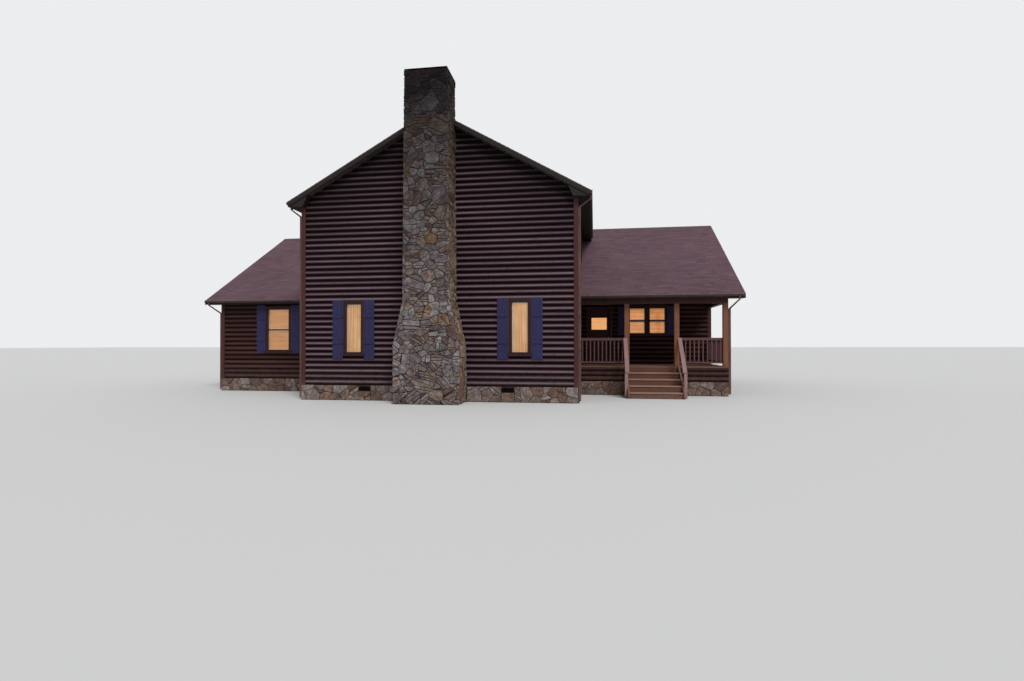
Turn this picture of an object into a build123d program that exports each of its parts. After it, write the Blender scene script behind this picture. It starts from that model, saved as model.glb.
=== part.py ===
from build123d import *
import os
from math import acos, cos, sin, sqrt

# Log cabin with a tall front gable, a stone chimney, two low wings and a recessed porch.
# Millimetres. While it is built, X runs along the front, Y goes back from the face of
# the front gable wall and Z is height above the ground. At the end everything moves
# along Y, so that the origin lies on the ground under the middle of the house.

# Logs and walls
log_course = 160
log_bulge = 36
log_facets = 4
wall_thickness = 180
log_start = 440
upper_wall_courses = 16
wall_courses = 17
corner_board = 112
corner_board_proud = 10
joint_gap = 0.3
cut_reach = 100

# Plan of the house
main_width = 8100
wing_front = 2700
wing_depth = 9600
house_width = 17200
porch_depth = 2600

# Stone base and floors
base_thickness = 250
floor_level = 920
floor_thickness = 80
vent_width = 360
vent_height = 125
vent_sill = 278
vent_depth = 40
vent_centre = 2100
vent_slats = 4

# Main roof: height of its upper face at the eaves, and its slope
main_eave = 5797.2
main_slope = 0.56
main_overhang = 330
main_rake_overhang = 220
roof_thickness = 120
board = 25
rake_board_drop = 146
soffit_drop = 9
return_foot = 120
return_head = 280
rake_gap = 0.15

# Wing roofs, in the same way
wing_eave_top = 3179.25
wing_slope = 0.615
wing_overhang = 250
wing_rake_overhang = 450
eave_run_gap = 58

# Gutters and downspouts
gutter_width = 70
gutter_height = 75
gutter_wall = 5
gutter_drop = 8
gutter_clearance = 10
spout_width = 70
spout_depth = 50
spout_corner_gap = 20
spout_foot = 60
main_bend = (30, 260)
wing_bend = (30, 310)
wing_spout_out = 250

# Chimney
chimney_base_half = 930
chimney_shaft_half = 655
chimney_top_half = 610
chimney_depth = 900
chimney_shoulder_low = 1600
chimney_shoulder_high = 2810
chimney_height = 9060
cap_thickness = 30
cap_setback = 15
flue_size = 300
flue_depth = 500

# Windows: width and height of a pane, its sill and its place
narrow_glass = (450, 1400)
narrow_sill = 1390
narrow_centre = 2440
wide_glass = (780, 1420)
wide_sill = 1430
wing_window_share = 0.524
twin_glass_share = 0.1626
twin_glass_height = 920
twin_sill = 2010
twin_mullion = 165
twin_centre_share = 0.3724
end_window_inset = 2400
frame_face = 100
frame_proud = 15
frame_depth = 120
meeting_rail = 40
meeting_rail_setback = 35
sill_height = 60
sill_reach = 35
glass_thickness = 6
glass_setback = 60
blind_thickness = 5
blind_setback = 90

# Shutters: how far they pass the glass below and above
shutter_width = 310
porch_shutter_share = 0.0925
shutter_thickness = 24
shutter_boards = 3
shutter_groove = 16
batten_height = 75
batten_thickness = 18
batten_share = 0.28
shutter_passes = {"gable": (190, 110), "wing": (110, 150), "porch": (60, 60)}

# Front door
door_width = 810
door_height = 1980
door_thickness = 45
door_from_main = 210
door_gap = 7
door_stop = 15
door_casing = 60
door_light = (560, 440)
door_light_sill = 1210
door_panel = (560, 820)
door_panel_sill = 200
door_panel_depth = 8
threshold = 20
knob_stem = 11
knob_rose = (32, 6)
knob_sides = 12
knob_height = 900
knob_inset = 70
knob_reach = 62
knob_radius = 28
knob_depth = 44
knob_chamfer = 13
hinge_heights = (180, 940, 1700)
hinge_length = 100
hinge_plate = (32, 3)
knuckle_radius = 7
hinge_pin_radius = 4
hinge_setback = 8
hinge_sides = 12

# Porch
post_size = 150
post_shares = (0.322, 0.6604)
beam_height = 260
ceiling_drop = 80
ceiling_thickness = 20
deck_thickness = 40
deck_nosing = 20
rail_top = 1820
rail_height = 80
rail_width = 60
foot_rail_bottom = 1017
foot_rail_height = 49
baluster = 38
baluster_pitch = 125

# Front steps
steps_beside_posts = 17
steps_over_posts = 15
step_count = 5
tread_run = 280
tread_thickness = 40
tread_nosing = 25
riser_thickness = 20
stringer_thickness = 40
stringer_above = 30
stringer_depth = 330
handrail_low = (1680, 820)
handrail_width = 120
handrail_thickness = 56
newel_size = 90
newel_setback = 20

# Derived places
half_main = main_width / 2
half_house = house_width / 2
inner_main = half_main - wall_thickness
inner_house = half_house - wall_thickness
wing_length = half_house - half_main
wing_rear = wing_front + wing_depth
wing_ridge_y = wing_front + wing_depth / 2
porch_back = wing_front + porch_depth
roof_edge = half_main + main_overhang
wing_roof_edge = half_house + wing_rake_overhang
wing_eave = wing_front - wing_overhang
main_roof_drop = roof_thickness * sqrt(1 + main_slope**2)
wing_roof_drop = roof_thickness * sqrt(1 + wing_slope**2)
main_ridge = main_eave + main_slope * roof_edge
wing_ridge = wing_eave_top + wing_slope * (wing_ridge_y - wing_eave)
main_soffit = main_eave - main_roof_drop - soffit_drop
wing_soffit = wing_eave_top - wing_roof_drop - soffit_drop
eave_run_end = (wing_ridge - main_soffit) / wing_slope + eave_run_gap
upper_wall_start = log_start + upper_wall_courses * log_course
plate_level = log_start + wall_courses * log_course
beam_bottom = plate_level - beam_height
ceiling_level = plate_level - ceiling_drop
door_x = half_main + door_from_main
casing_from = door_x - door_gap - door_casing
casing_to = door_x + door_width + door_gap + door_casing
wing_window_x = half_main + wing_window_share * wing_length
twin_room = half_house - corner_board - casing_to
twin_window_x = casing_to + twin_centre_share * twin_room
twin_glass = (twin_glass_share * twin_room, twin_glass_height)
post_centres = [half_main + share * wing_length for share in post_shares]
steps_x = (post_centres[0] + post_centres[1]) / 2 + steps_beside_posts
steps_width = post_centres[1] - post_centres[0] + steps_over_posts
front_edge = -chimney_depth
rear_edge = wing_rear + wing_overhang + board + gutter_width
middle_y = (front_edge + rear_edge) / 2
high = main_ridge + cut_reach
far = wing_roof_edge + cut_reach
nodes = {}


def prism_x(points, x_from, x_to):
    """A solid with the outline (y, z), from x_from to x_to."""
    face = Plane.YZ.offset(x_from) * make_face(Polyline(*points, points[0]))
    return extrude(face, amount=x_to - x_from, dir=(1, 0, 0))


def prism_y(points, y_from, y_to):
    """A solid with the outline (x, z), from y_from to y_to."""
    face = Plane.XZ.offset(-y_from) * make_face(Polyline(*points, points[0]))
    return extrude(face, amount=y_to - y_from, dir=(0, 1, 0))


def prism_z(points, z_from, z_to):
    """A solid with the outline (x, y), from z_from to z_to."""
    face = Plane.XY.offset(z_from) * make_face(Polyline(*points, points[0]))
    return extrude(face, amount=z_to - z_from, dir=(0, 0, 1))


def block(x_a, x_b, y_a, y_b, z_a, z_b):
    """A box between two corners, which may be given in any order."""
    size = (abs(x_b - x_a), abs(y_b - y_a), abs(z_b - z_a))
    return Pos((x_a + x_b) / 2, (y_a + y_b) / 2, (z_a + z_b) / 2) * Box(*size)


def both_sides(solids):
    """The solids and their mirror images across the middle of the house."""
    return solids + [mirror(solid, about=Plane.YZ) for solid in solids]


def to_rear(solids):
    """Mirror images across the ridge of the wing roofs."""
    return [mirror(solid, about=Plane.XZ.offset(-wing_ridge_y)) for solid in solids]


def main_top(x):
    """Height of the main roof's upper face."""
    return main_ridge - main_slope * abs(x)


def wing_top(y):
    """Height of the wing roof's upper face."""
    return wing_ridge - wing_slope * abs(y - wing_ridge_y)


# Log walls
def log_face(z_from, z_to):
    """Points up the outer face of stacked logs: each course is a shallow arc."""
    radius = (log_course**2 / 4 + log_bulge**2) / (2 * log_bulge)
    half_angle = acos((radius - log_bulge) / radius)
    points = []
    z = z_from
    while z < z_to:
        for i in range(log_facets):
            turn = -half_angle + 2 * half_angle * i / log_facets
            points.append((radius - radius * cos(turn), z + log_course / 2 + radius * sin(turn)))
        z += log_course
    points.append((log_bulge, z))
    return points


def log_wall(length, z_from, z_to, low="plain", high_end="plain", board_from=0, board_to=0):
    """A log wall along +X from 0, with its crests on y = 0 and its flat face inside."""
    outer = log_face(z_from, z_to)
    top = outer[-1][1]
    wall = prism_x(outer + [(wall_thickness, top), (wall_thickness, z_from)], 0, length)
    for end, inward, kind in ((0, 1, low), (length, -1, high_end)):
        inner = end + inward * wall_thickness
        if kind == "mitred":
            wall -= prism_z([(end, 0), (end, wall_thickness), (inner, wall_thickness)], z_from, top)
        if board_to and kind != "plain":
            notch = end + inward * corner_board
            wall -= block(end, notch, 0, corner_board, board_from, board_to)
    return wall


def window(centre, sill, glass, panes, sashes):
    """Frame, glass and blinds of a window in a wall along +X with its crests on y = 0."""
    width = panes * glass[0] + (panes - 1) * twin_mullion + 2 * frame_face
    low = sill - frame_face
    frame = block(-width / 2, width / 2, -frame_proud, frame_depth, low, sill + glass[1] + frame_face)
    frame += block(-width / 2, width / 2, -frame_proud - sill_reach, 0, low, low + sill_height)
    rail = meeting_rail if sashes == 2 else 0
    sash_height = (glass[1] - rail) / sashes
    glasses = []
    screens = []
    for pane in range(panes):
        x_from = -width / 2 + frame_face + pane * (glass[0] + twin_mullion)
        x_to = x_from + glass[0]
        for sash in range(sashes):
            z_from = sill + sash * (sash_height + rail)
            z_to = z_from + sash_height
            glass_back = glass_setback + glass_thickness
            blind_back = blind_setback + blind_thickness
            frame -= block(x_from, x_to, -frame_proud, frame_depth, z_from, z_to)
            frame -= block(x_from, x_to, -frame_proud, meeting_rail_setback, sill, sill + glass[1])
            glasses.append(block(x_from, x_to, glass_setback, glass_back, z_from, z_to))
            screens.append(block(x_from, x_to, blind_setback, blind_back, z_from, z_to))
    shift = Pos(centre, 0, 0)
    return shift * frame, [shift * pane for pane in glasses], [shift * blind for blind in screens]


def shutter(x_from, x_to, z_from, z_to):
    """A shutter on the log crests: grooved boards with two battens across them."""
    leaf = block(x_from, x_to, -shutter_thickness, 0, z_from, z_to)
    for i in range(1, shutter_boards):
        x = x_from + i * (x_to - x_from) / shutter_boards
        half = shutter_groove / 2
        leaf -= prism_z(
            [(x - half, -shutter_thickness), (x + half, -shutter_thickness), (x, half - shutter_thickness)],
            z_from,
            z_to,
        )
    inset = batten_share * (z_to - z_from)
    for z in (z_from + inset, z_to - inset):
        leaf += block(
            x_from,
            x_to,
            -shutter_thickness - batten_thickness,
            -shutter_thickness / 2,
            z - batten_height / 2,
            z + batten_height / 2,
        )
    return leaf


window_frames = []
window_shutters = []
window_glass = []
window_blinds = []


def fit_window(wall, kind, centre, sill, glass, placing, panes=1, sashes=1, leaf_width=shutter_width):
    """Cuts a window into a wall and keeps its frame, glass, blinds and shutters."""
    half = (panes * glass[0] + (panes - 1) * twin_mullion) / 2 + frame_face
    frame, glasses, screens = window(centre, sill, glass, panes, sashes)
    window_frames.append(placing * frame)
    window_glass.extend(placing * pane for pane in glasses)
    window_blinds.extend(placing * blind for blind in screens)
    below, over = shutter_passes[kind]
    for x_from in (centre - half - leaf_width, centre + half):
        leaf = shutter(x_from, x_from + leaf_width, sill - below, sill + glass[1] + over)
        window_shutters.append(placing * leaf)
    low = sill - frame_face
    hole_top = sill + glass[1] + frame_face
    return wall - block(centre - half, centre + half, -cut_reach, wall_thickness + cut_reach, low, hole_top)


# Outlines under the roofs, which the walls are cut to
main_under = prism_y(
    [
        (-half_main, 0),
        (half_main, 0),
        (half_main, main_top(half_main) - main_roof_drop),
        (0, main_ridge - main_roof_drop),
        (-half_main, main_top(half_main) - main_roof_drop),
    ],
    0,
    wing_rear,
)
wing_under = prism_x(
    [
        (wing_front, 0),
        (wing_rear, 0),
        (wing_rear, wing_top(wing_rear) - wing_roof_drop),
        (wing_ridge_y, wing_ridge - wing_roof_drop),
        (wing_front, wing_top(wing_front) - wing_roof_drop),
    ],
    -half_house,
    half_house,
)
main_wall_top = main_top(inner_main)
wing_wall_top = wing_top(wing_front + wall_thickness)

# Walls of the main block
main_boards = (log_start, main_soffit)
front = log_wall(main_width, log_start, main_ridge, "mitred", "mitred", *main_boards)
rear = log_wall(main_width, log_start, main_ridge, "notched", "notched", *main_boards)
front_placing = Pos(-half_main, 0, 0)
rear_placing = Pos(half_main, wing_rear, 0) * Rot(0, 0, 180)
for centre in (half_main - narrow_centre, half_main + narrow_centre):
    front = fit_window(front, "gable", centre, narrow_sill, narrow_glass, front_placing)
    rear = fit_window(rear, "gable", centre, narrow_sill, narrow_glass, rear_placing)
nodes["main_front_wall"] = [(front_placing * front) & main_under]
nodes["main_rear_wall"] = [(rear_placing * rear) & main_under]

left_reach = wing_front + wall_thickness
right_reach = porch_back + wall_thickness
left_side = log_wall(left_reach, log_start, main_wall_top, "plain", "mitred", *main_boards)
right_side = log_wall(right_reach, log_start, main_wall_top, "mitred", "plain", *main_boards)
left_side = Pos(-half_main, left_reach, 0) * Rot(0, 0, -90) * left_side
right_side = Pos(half_main, 0, 0) * Rot(0, 0, 90) * right_side
seat = half_main - log_bulge
left_side -= block(-half_main, -seat, wing_front, left_reach, log_start, high) & wing_under
right_side -= block(seat, half_main, porch_back, right_reach, log_start, plate_level)
nodes["main_side_walls"] = [left_side & main_under, right_side & main_under]

rear_inner = wing_rear - wall_thickness
left_upper = log_wall(rear_inner - left_reach, upper_wall_start, main_wall_top)
right_upper = log_wall(rear_inner - right_reach, upper_wall_start, main_wall_top)
left_upper = Pos(-half_main, rear_inner, 0) * Rot(0, 0, -90) * left_upper
right_upper = Pos(half_main, right_reach, 0) * Rot(0, 0, 90) * right_upper
nodes["main_upper_walls"] = [left_upper & main_under, right_upper & main_under]

# Walls of the left wing
wing_boards = (log_start, wing_soffit)
left_front = log_wall(wing_length + log_bulge, log_start, wing_wall_top, "mitred", "plain", *wing_boards)
placing = Pos(-half_house, wing_front, 0)
centre = half_house - wing_window_x
left_front = fit_window(left_front, "wing", centre, wide_sill, wide_glass, placing, sashes=2)
nodes["left_wing_front_wall"] = [(placing * left_front) & wing_under]

left_end = log_wall(wing_depth, log_start, wing_ridge, "mitred", "mitred", *wing_boards)
placing = Pos(-half_house, wing_rear, 0) * Rot(0, 0, -90)
for centre in (end_window_inset, wing_depth - end_window_inset):
    left_end = fit_window(left_end, "wing", centre, wide_sill, wide_glass, placing, sashes=2)
nodes["left_wing_end_wall"] = [(placing * left_end) & wing_under]

# Walls of the right wing
end_length = wing_rear - porch_back
right_end = log_wall(end_length, log_start, plate_level, "mitred", "mitred", *wing_boards)
placing = Pos(half_house, porch_back, 0) * Rot(0, 0, 90)
centre = end_length / 2
right_end = fit_window(right_end, "wing", centre, wide_sill, wide_glass, placing, sashes=2)
right_end = (placing * right_end) & block(0, far, 0, rear_edge, 0, plate_level)
nodes["right_wing_end_wall"] = [right_end]
right_gable = log_wall(wing_depth, log_start, wing_ridge)
right_gable = (Pos(half_house, wing_front, 0) * Rot(0, 0, 90) * right_gable) & wing_under
nodes["right_gable_wall"] = [right_gable & block(0, far, 0, rear_edge, plate_level, high)]

rear_left = log_wall(wing_length, log_start, wing_wall_top, "plain", "mitred", *wing_boards)
rear_right = log_wall(wing_length, log_start, wing_wall_top, "mitred", "plain", *wing_boards)
left_placing = Pos(-half_main, wing_rear, 0) * Rot(0, 0, 180)
right_placing = Pos(half_house, wing_rear, 0) * Rot(0, 0, 180)
centre = wing_window_x - half_main
rear_left = fit_window(rear_left, "wing", centre, wide_sill, wide_glass, left_placing, sashes=2)
centre = half_house - wing_window_x
rear_right = fit_window(rear_right, "wing", centre, wide_sill, wide_glass, right_placing, sashes=2)
rear_left = (left_placing * rear_left) & wing_under
rear_right = (right_placing * rear_right) & wing_under
rear_right -= block(inner_house, half_house, rear_inner, wing_rear, plate_level, high)
nodes["wing_rear_walls"] = [rear_left, rear_right]

# Porch wall, in pieces beside, over and under the doorway
door_bottom = floor_level + threshold + door_gap
door_top = door_bottom + door_height
casing_top = door_top + door_gap + door_casing
porch_wall = log_wall(wing_length + log_bulge, log_start, plate_level, "plain", "mitred", *wing_boards)
placing = Pos(seat, porch_back, 0)
centre = twin_window_x - seat
leaf_width = porch_shutter_share * twin_room
porch_wall = fit_window(porch_wall, "porch", centre, twin_sill, twin_glass, placing, 2, 2, leaf_width)
porch_wall = placing * porch_wall


def porch_wall_piece(x_from, x_to, z_from, z_to):
    """The part of the porch wall between two widths and two heights."""
    return porch_wall & block(x_from, x_to, porch_back, right_reach, z_from, z_to)


nodes["porch_wall"] = [
    porch_wall_piece(0, casing_from, floor_level, plate_level),
    porch_wall_piece(casing_to, far, floor_level, plate_level),
    porch_wall_piece(0, far, log_start, floor_level - joint_gap),
]
nodes["porch_wall_header"] = [porch_wall_piece(casing_from, casing_to, casing_top, plate_level)]

# Corner boards, the one beside the porch cut round its floor
proud = corner_board_proud
main_corners = [
    block(half_main + proud, half_main - corner_board, -proud, corner_board, *main_boards),
    block(half_main, half_main - corner_board, wing_rear + proud, wing_rear - corner_board, *main_boards),
]
wing_x = (half_house + proud, half_house - corner_board)
rear_corner = block(*wing_x, wing_rear + proud, wing_rear - corner_board, *wing_boards)
front_corner = block(*wing_x, wing_front - proud, wing_front + corner_board, *wing_boards)
porch_corner = block(*wing_x, porch_back, porch_back + corner_board, *wing_boards)
nodes["corner_boards"] = both_sides(main_corners + [rear_corner])
nodes["corner_boards"] += [mirror(front_corner, about=Plane.YZ), porch_corner]

nodes["window_frames"] = window_frames
nodes["window_glass"] = window_glass
nodes["window_blinds"] = window_blinds
nodes["shutters"] = window_shutters

# Stone base with a louvred vent under each gable window
base_inner = half_main - base_thickness
house_base_inner = half_house - base_thickness
front_base = block(-half_main, half_main, 0, base_thickness, 0, log_start)
vents = []
for x in (-vent_centre, vent_centre):
    vent = block(x - vent_width / 2, x + vent_width / 2, 0, vent_depth, vent_sill, vent_sill + vent_height)
    front_base -= vent
    slat_pitch = vent_height / vent_slats
    for i in range(vent_slats):
        z = vent_sill + i * slat_pitch
        slot = [(0, z + slat_pitch / 4), (0, z + slat_pitch * 0.9), (vent_depth / 2, z + slat_pitch * 0.9)]
        vent -= prism_x(slot, x - vent_width / 2 + board, x + vent_width / 2 - board)
    vents.append(vent)
wing_base_side = block(
    house_base_inner, half_house, wing_front + base_thickness, wing_rear - base_thickness, 0, log_start
)
nodes["foundation_side_walls"] = [
    block(-half_main, -base_inner, base_thickness, wing_front + base_thickness, 0, log_start),
    block(half_main, base_inner, base_thickness, porch_back + base_thickness, 0, log_start),
    *both_sides([wing_base_side]),
]
nodes["foundation_cross_walls"] = [
    front_base,
    block(-half_house, -half_main, wing_front, wing_front + base_thickness, 0, log_start),
    block(half_main, half_house, wing_front, wing_front + base_thickness, 0, log_start),
    block(half_main, house_base_inner, porch_back, porch_back + base_thickness, 0, log_start),
    block(-half_house, half_house, wing_rear - base_thickness, wing_rear, 0, log_start),
]
nodes["foundation_vents"] = vents

# Floors
floor_bottom = floor_level - floor_thickness
floor_joint = inner_main + joint_gap
nodes["floors"] = [
    block(-inner_main, inner_main, wall_thickness, rear_inner, floor_bottom, floor_level),
    block(-inner_house, -floor_joint, left_reach, rear_inner, floor_bottom, floor_level),
    block(floor_joint, inner_house, right_reach, rear_inner, floor_bottom, floor_level),
]

# Chimney
chimney_profile = [
    (-chimney_base_half, 0),
    (chimney_base_half, 0),
    (chimney_base_half, chimney_shoulder_low),
    (chimney_shaft_half, chimney_shoulder_high),
    (chimney_top_half, chimney_height),
    (-chimney_top_half, chimney_height),
    (-chimney_shaft_half, chimney_shoulder_high),
    (-chimney_base_half, chimney_shoulder_low),
]
chimney_outline = prism_y(chimney_profile, -chimney_depth, 0)
flue = block(
    -flue_size / 2,
    flue_size / 2,
    (-chimney_depth - flue_size) / 2,
    (-chimney_depth + flue_size) / 2,
    chimney_height - flue_depth,
    chimney_height + cap_thickness,
)
cap_half = chimney_top_half - cap_setback
cap_top = chimney_height + cap_thickness
cap = block(-cap_half, cap_half, cap_setback - chimney_depth, -cap_setback, chimney_height, cap_top)
nodes["chimney"] = [chimney_outline - flue]
nodes["chimney_cap"] = [cap - flue]

# Main roof slabs, let in round the chimney at the front
slab_front = board - main_rake_overhang
slab_rear = wing_rear - slab_front
main_slab = prism_y(
    [
        (0, main_ridge - main_roof_drop),
        (roof_edge, main_top(roof_edge) - main_roof_drop),
        (roof_edge, main_top(roof_edge)),
        (0, main_ridge),
    ],
    slab_front,
    slab_rear,
)
main_slab -= chimney_outline
nodes["main_roof_right"] = [main_slab]
nodes["main_roof_left"] = [mirror(main_slab, about=Plane.YZ)]

# Wing roof slabs, which run on over the main roof as far as their valleys
main_envelope = prism_y(
    [
        (-half_main, 0),
        (half_main, 0),
        (half_main, main_soffit),
        (roof_edge, main_soffit),
        (roof_edge, main_top(roof_edge)),
        (0, main_ridge),
        (-roof_edge, main_top(roof_edge)),
        (-roof_edge, main_soffit),
        (-half_main, main_soffit),
    ],
    slab_front,
    slab_rear,
)
wing_slab_edge = wing_roof_edge - board
wing_slab = prism_x(
    [
        (wing_eave, wing_top(wing_eave) - wing_roof_drop),
        (wing_ridge_y, wing_ridge - wing_roof_drop),
        (wing_ridge_y, wing_ridge),
        (wing_eave, wing_top(wing_eave)),
    ],
    0,
    wing_slab_edge,
)
wing_slab -= main_envelope
nodes["wing_roof_front"] = both_sides([wing_slab])
nodes["wing_roof_rear"] = to_rear(nodes["wing_roof_front"])

# Rake boards on the four gables
def main_rake(y_from):
    """One sloping board along a main gable, from the peak to the eave."""
    outline = [
        (rake_gap, main_top(rake_gap) - rake_board_drop),
        (roof_edge, main_top(roof_edge) - rake_board_drop),
        (roof_edge, main_top(roof_edge)),
        (rake_gap, main_top(rake_gap)),
    ]
    return prism_y(outline, y_from, y_from + board)


wing_rake = prism_x(
    [
        (wing_eave - board, wing_top(wing_eave - board) - rake_board_drop),
        (wing_ridge_y - rake_gap, wing_ridge - rake_board_drop),
        (wing_ridge_y - rake_gap, wing_ridge),
        (wing_eave - board, wing_top(wing_eave - board)),
    ],
    wing_slab_edge,
    wing_roof_edge,
)
front_wing_rakes = both_sides([wing_rake])
nodes["rake_boards"] = both_sides([main_rake(slab_front - board) - chimney_outline, main_rake(slab_rear)])
nodes["rake_boards"] += front_wing_rakes + to_rear(front_wing_rakes)

# Boxed eaves of the main roof with their sloping returns on the gables
underside_edge = main_top(roof_edge) - main_roof_drop
return_top = half_main - return_head
gable_return = [
    (half_main - return_foot, main_soffit),
    (roof_edge, main_soffit),
    (roof_edge, underside_edge),
    (return_top, main_top(return_top) - main_roof_drop),
]
eave_box = [
    (half_main, main_soffit),
    (roof_edge, main_soffit),
    (roof_edge, underside_edge),
    (half_main, main_top(half_main) - main_roof_drop),
]
front_eave = prism_y(gable_return, slab_front, 0)
front_eave += prism_y(eave_box, 0, wing_ridge_y - eave_run_end)
rear_eave = prism_y(gable_return, wing_rear, slab_rear)
rear_eave += prism_y(eave_box, wing_ridge_y + eave_run_end, wing_rear)
nodes["main_eaves"] = both_sides([front_eave, rear_eave])

# Boxed eaves of the wings
wing_eave_profile = [
    (wing_eave - board, wing_soffit),
    (wing_front, wing_soffit),
    (wing_front, wing_top(wing_front) - wing_roof_drop),
    (wing_eave, wing_top(wing_eave) - wing_roof_drop),
    (wing_eave, wing_top(wing_eave)),
    (wing_eave - board, wing_top(wing_eave - board)),
]
front_wing_eaves = both_sides([prism_x(wing_eave_profile, half_main, wing_slab_edge)])
nodes["wing_eaves"] = front_wing_eaves + to_rear(front_wing_eaves)


# Gutters
def gutter_profile(back, top, outward):
    """Outlines of a gutter's outside and inside, hung on a vertical face."""
    lip = gutter_width - gutter_wall
    floor = gutter_height - gutter_wall
    outside = ((0, 0), (gutter_width, 0), (gutter_width * 0.75, gutter_height), (0, gutter_height))
    inside = ((gutter_wall, -gutter_wall), (lip, -gutter_wall), (lip * 0.75, floor), (gutter_wall, floor))
    return [[(back + outward * reach, top - drop) for reach, drop in line] for line in (outside, inside)]


outside, inside = gutter_profile(roof_edge, main_top(roof_edge) - gutter_drop, 1)
side_gutters = []
for run_from, run_to in ((slab_front, wing_ridge_y - eave_run_end), (wing_ridge_y + eave_run_end, slab_rear)):
    hollow = prism_y(inside, run_from + gutter_wall, run_to - gutter_wall)
    side_gutters.append(prism_y(outside, run_from, run_to) - hollow)
nodes["gutters"] = both_sides(side_gutters)

outside, inside = gutter_profile(wing_eave - board, wing_top(wing_eave - board) - gutter_drop, -1)
run_from = half_main + gutter_clearance
hollow = prism_x(inside, run_from + gutter_wall, wing_slab_edge - gutter_wall)
front_gutters = both_sides([prism_x(outside, run_from, wing_slab_edge) - hollow])
nodes["gutters"] += front_gutters + to_rear(front_gutters)


# Downspouts
def spout_face(x, y, width, z):
    """A level rectangle across a downspout, with its low corner at (x, y)."""
    return Pos(x + width / 2, y + spout_depth / 2, z) * Rectangle(width, spout_depth).face()


def downspout(upper, lower, outlet, bend_top, bend_foot):
    """A downspout: straight down from its outlet, aslant to the wall, then down the wall."""
    spout = block(upper[0], upper[0] + spout_depth, upper[1], upper[1] + spout_depth, bend_top, outlet)
    spout += loft([spout_face(*upper, spout_depth, bend_top), spout_face(*lower, spout_width, bend_foot)])
    spout += block(lower[0], lower[0] + spout_width, lower[1], lower[1] + spout_depth, spout_foot, bend_foot)
    return spout


gutter_floor = gutter_drop + gutter_height
main_spout = downspout(
    (roof_edge, spout_corner_gap),
    (half_main + proud, spout_corner_gap),
    main_top(roof_edge) - gutter_floor,
    main_soffit - main_bend[0],
    main_soffit - main_bend[1],
)
wing_spout = downspout(
    (half_house + wing_spout_out, wing_eave - board - spout_depth),
    (half_house + proud, wing_front + spout_corner_gap),
    wing_top(wing_eave - board) - gutter_floor,
    wing_soffit - wing_bend[0],
    wing_soffit - wing_bend[1],
)
wing_spouts = both_sides([wing_spout])
nodes["downspouts"] = both_sides([main_spout]) + wing_spouts + to_rear(wing_spouts)

# Porch floor, skirt, posts, beams and ceiling
deck_bottom = floor_level - deck_thickness
skirt_room = block(half_main, half_house, wing_front, porch_back, log_start, deck_bottom)
side_start = wall_thickness + joint_gap
front_skirt = Pos(half_main, wing_front, 0) * log_wall(wing_length, log_start, deck_bottom)
side_skirt = log_wall(porch_depth - side_start, log_start, deck_bottom)
side_skirt = Pos(half_house, wing_front + side_start, 0) * Rot(0, 0, 90) * side_skirt
nodes["porch_skirt"] = [front_skirt & skirt_room, side_skirt & skirt_room]
nodes["porch_deck"] = [
    block(half_main, half_house, wing_front - deck_nosing, porch_back, deck_bottom, floor_level)
]
post_back = wing_front + post_size
corner_post = half_house - post_size / 2
nodes["porch_posts"] = [
    block(x - post_size / 2, x + post_size / 2, wing_front, post_back, floor_level, beam_bottom)
    for x in (*post_centres, corner_post)
]
beam_inner = half_house - post_size
nodes["porch_beams"] = [
    block(half_main, half_house, wing_front, post_back, beam_bottom, plate_level),
    block(beam_inner, half_house, post_back + joint_gap, porch_back, beam_bottom, plate_level),
]
nodes["porch_ceiling"] = [
    block(half_main, beam_inner, post_back, porch_back, ceiling_level, ceiling_level + ceiling_thickness)
]


# Porch rails
def rail_panel(length):
    """A panel along +X from 0: top rail, foot rail and evenly spaced balusters."""
    half = rail_width / 2
    panel = block(0, length, -half, half, rail_top - rail_height, rail_top)
    panel += block(0, length, -half, half, foot_rail_bottom, foot_rail_bottom + foot_rail_height)
    count = int(length / baluster_pitch)
    z_from = foot_rail_bottom + foot_rail_height / 2
    z_to = rail_top - rail_height / 2
    for i in range(count):
        x = (i + 0.5) * length / count
        panel += block(x - baluster / 2, x + baluster / 2, -baluster / 2, baluster / 2, z_from, z_to)
    return panel


rail_line = wing_front + post_size / 2
post_side = post_centres[1] + post_size / 2
left_panel = rail_panel(post_centres[0] - post_size / 2 - half_main)
right_panel = rail_panel(beam_inner - post_side)
side_panel = rail_panel(porch_depth - post_size)
nodes["porch_rails"] = [
    Pos(half_main, rail_line, 0) * left_panel,
    Pos(post_side, rail_line, 0) * right_panel,
    Pos(corner_post, post_back, 0) * Rot(0, 0, 90) * side_panel,
]

# Front steps
rise = floor_level / step_count
treads_from = steps_x - steps_width / 2
treads_to = steps_x + steps_width / 2
treads = []
risers = []
for step in range(1, step_count + 1):
    riser_back = wing_front - (step_count - step) * tread_run
    riser_front = riser_back - riser_thickness
    tread_bottom = step * rise - tread_thickness
    risers.append(block(treads_from, treads_to, riser_front, riser_back, (step - 1) * rise, tread_bottom))
    if step < step_count:
        tread_front = riser_front - tread_nosing
        tread_back = riser_front + tread_run
        treads.append(block(treads_from, treads_to, tread_front, tread_back, tread_bottom, step * rise))
nodes["step_treads"] = treads
nodes["step_risers"] = risers

# Stringers along both sides of the steps
pitch = rise / tread_run
nosing_y = wing_front - riser_thickness - tread_nosing
stringer_front = nosing_y - (step_count - 1) * tread_run - stringer_above


def stringer_top(y):
    """Height of the stringers' upper edge."""
    return floor_level + (y - nosing_y) * pitch + stringer_above


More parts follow.
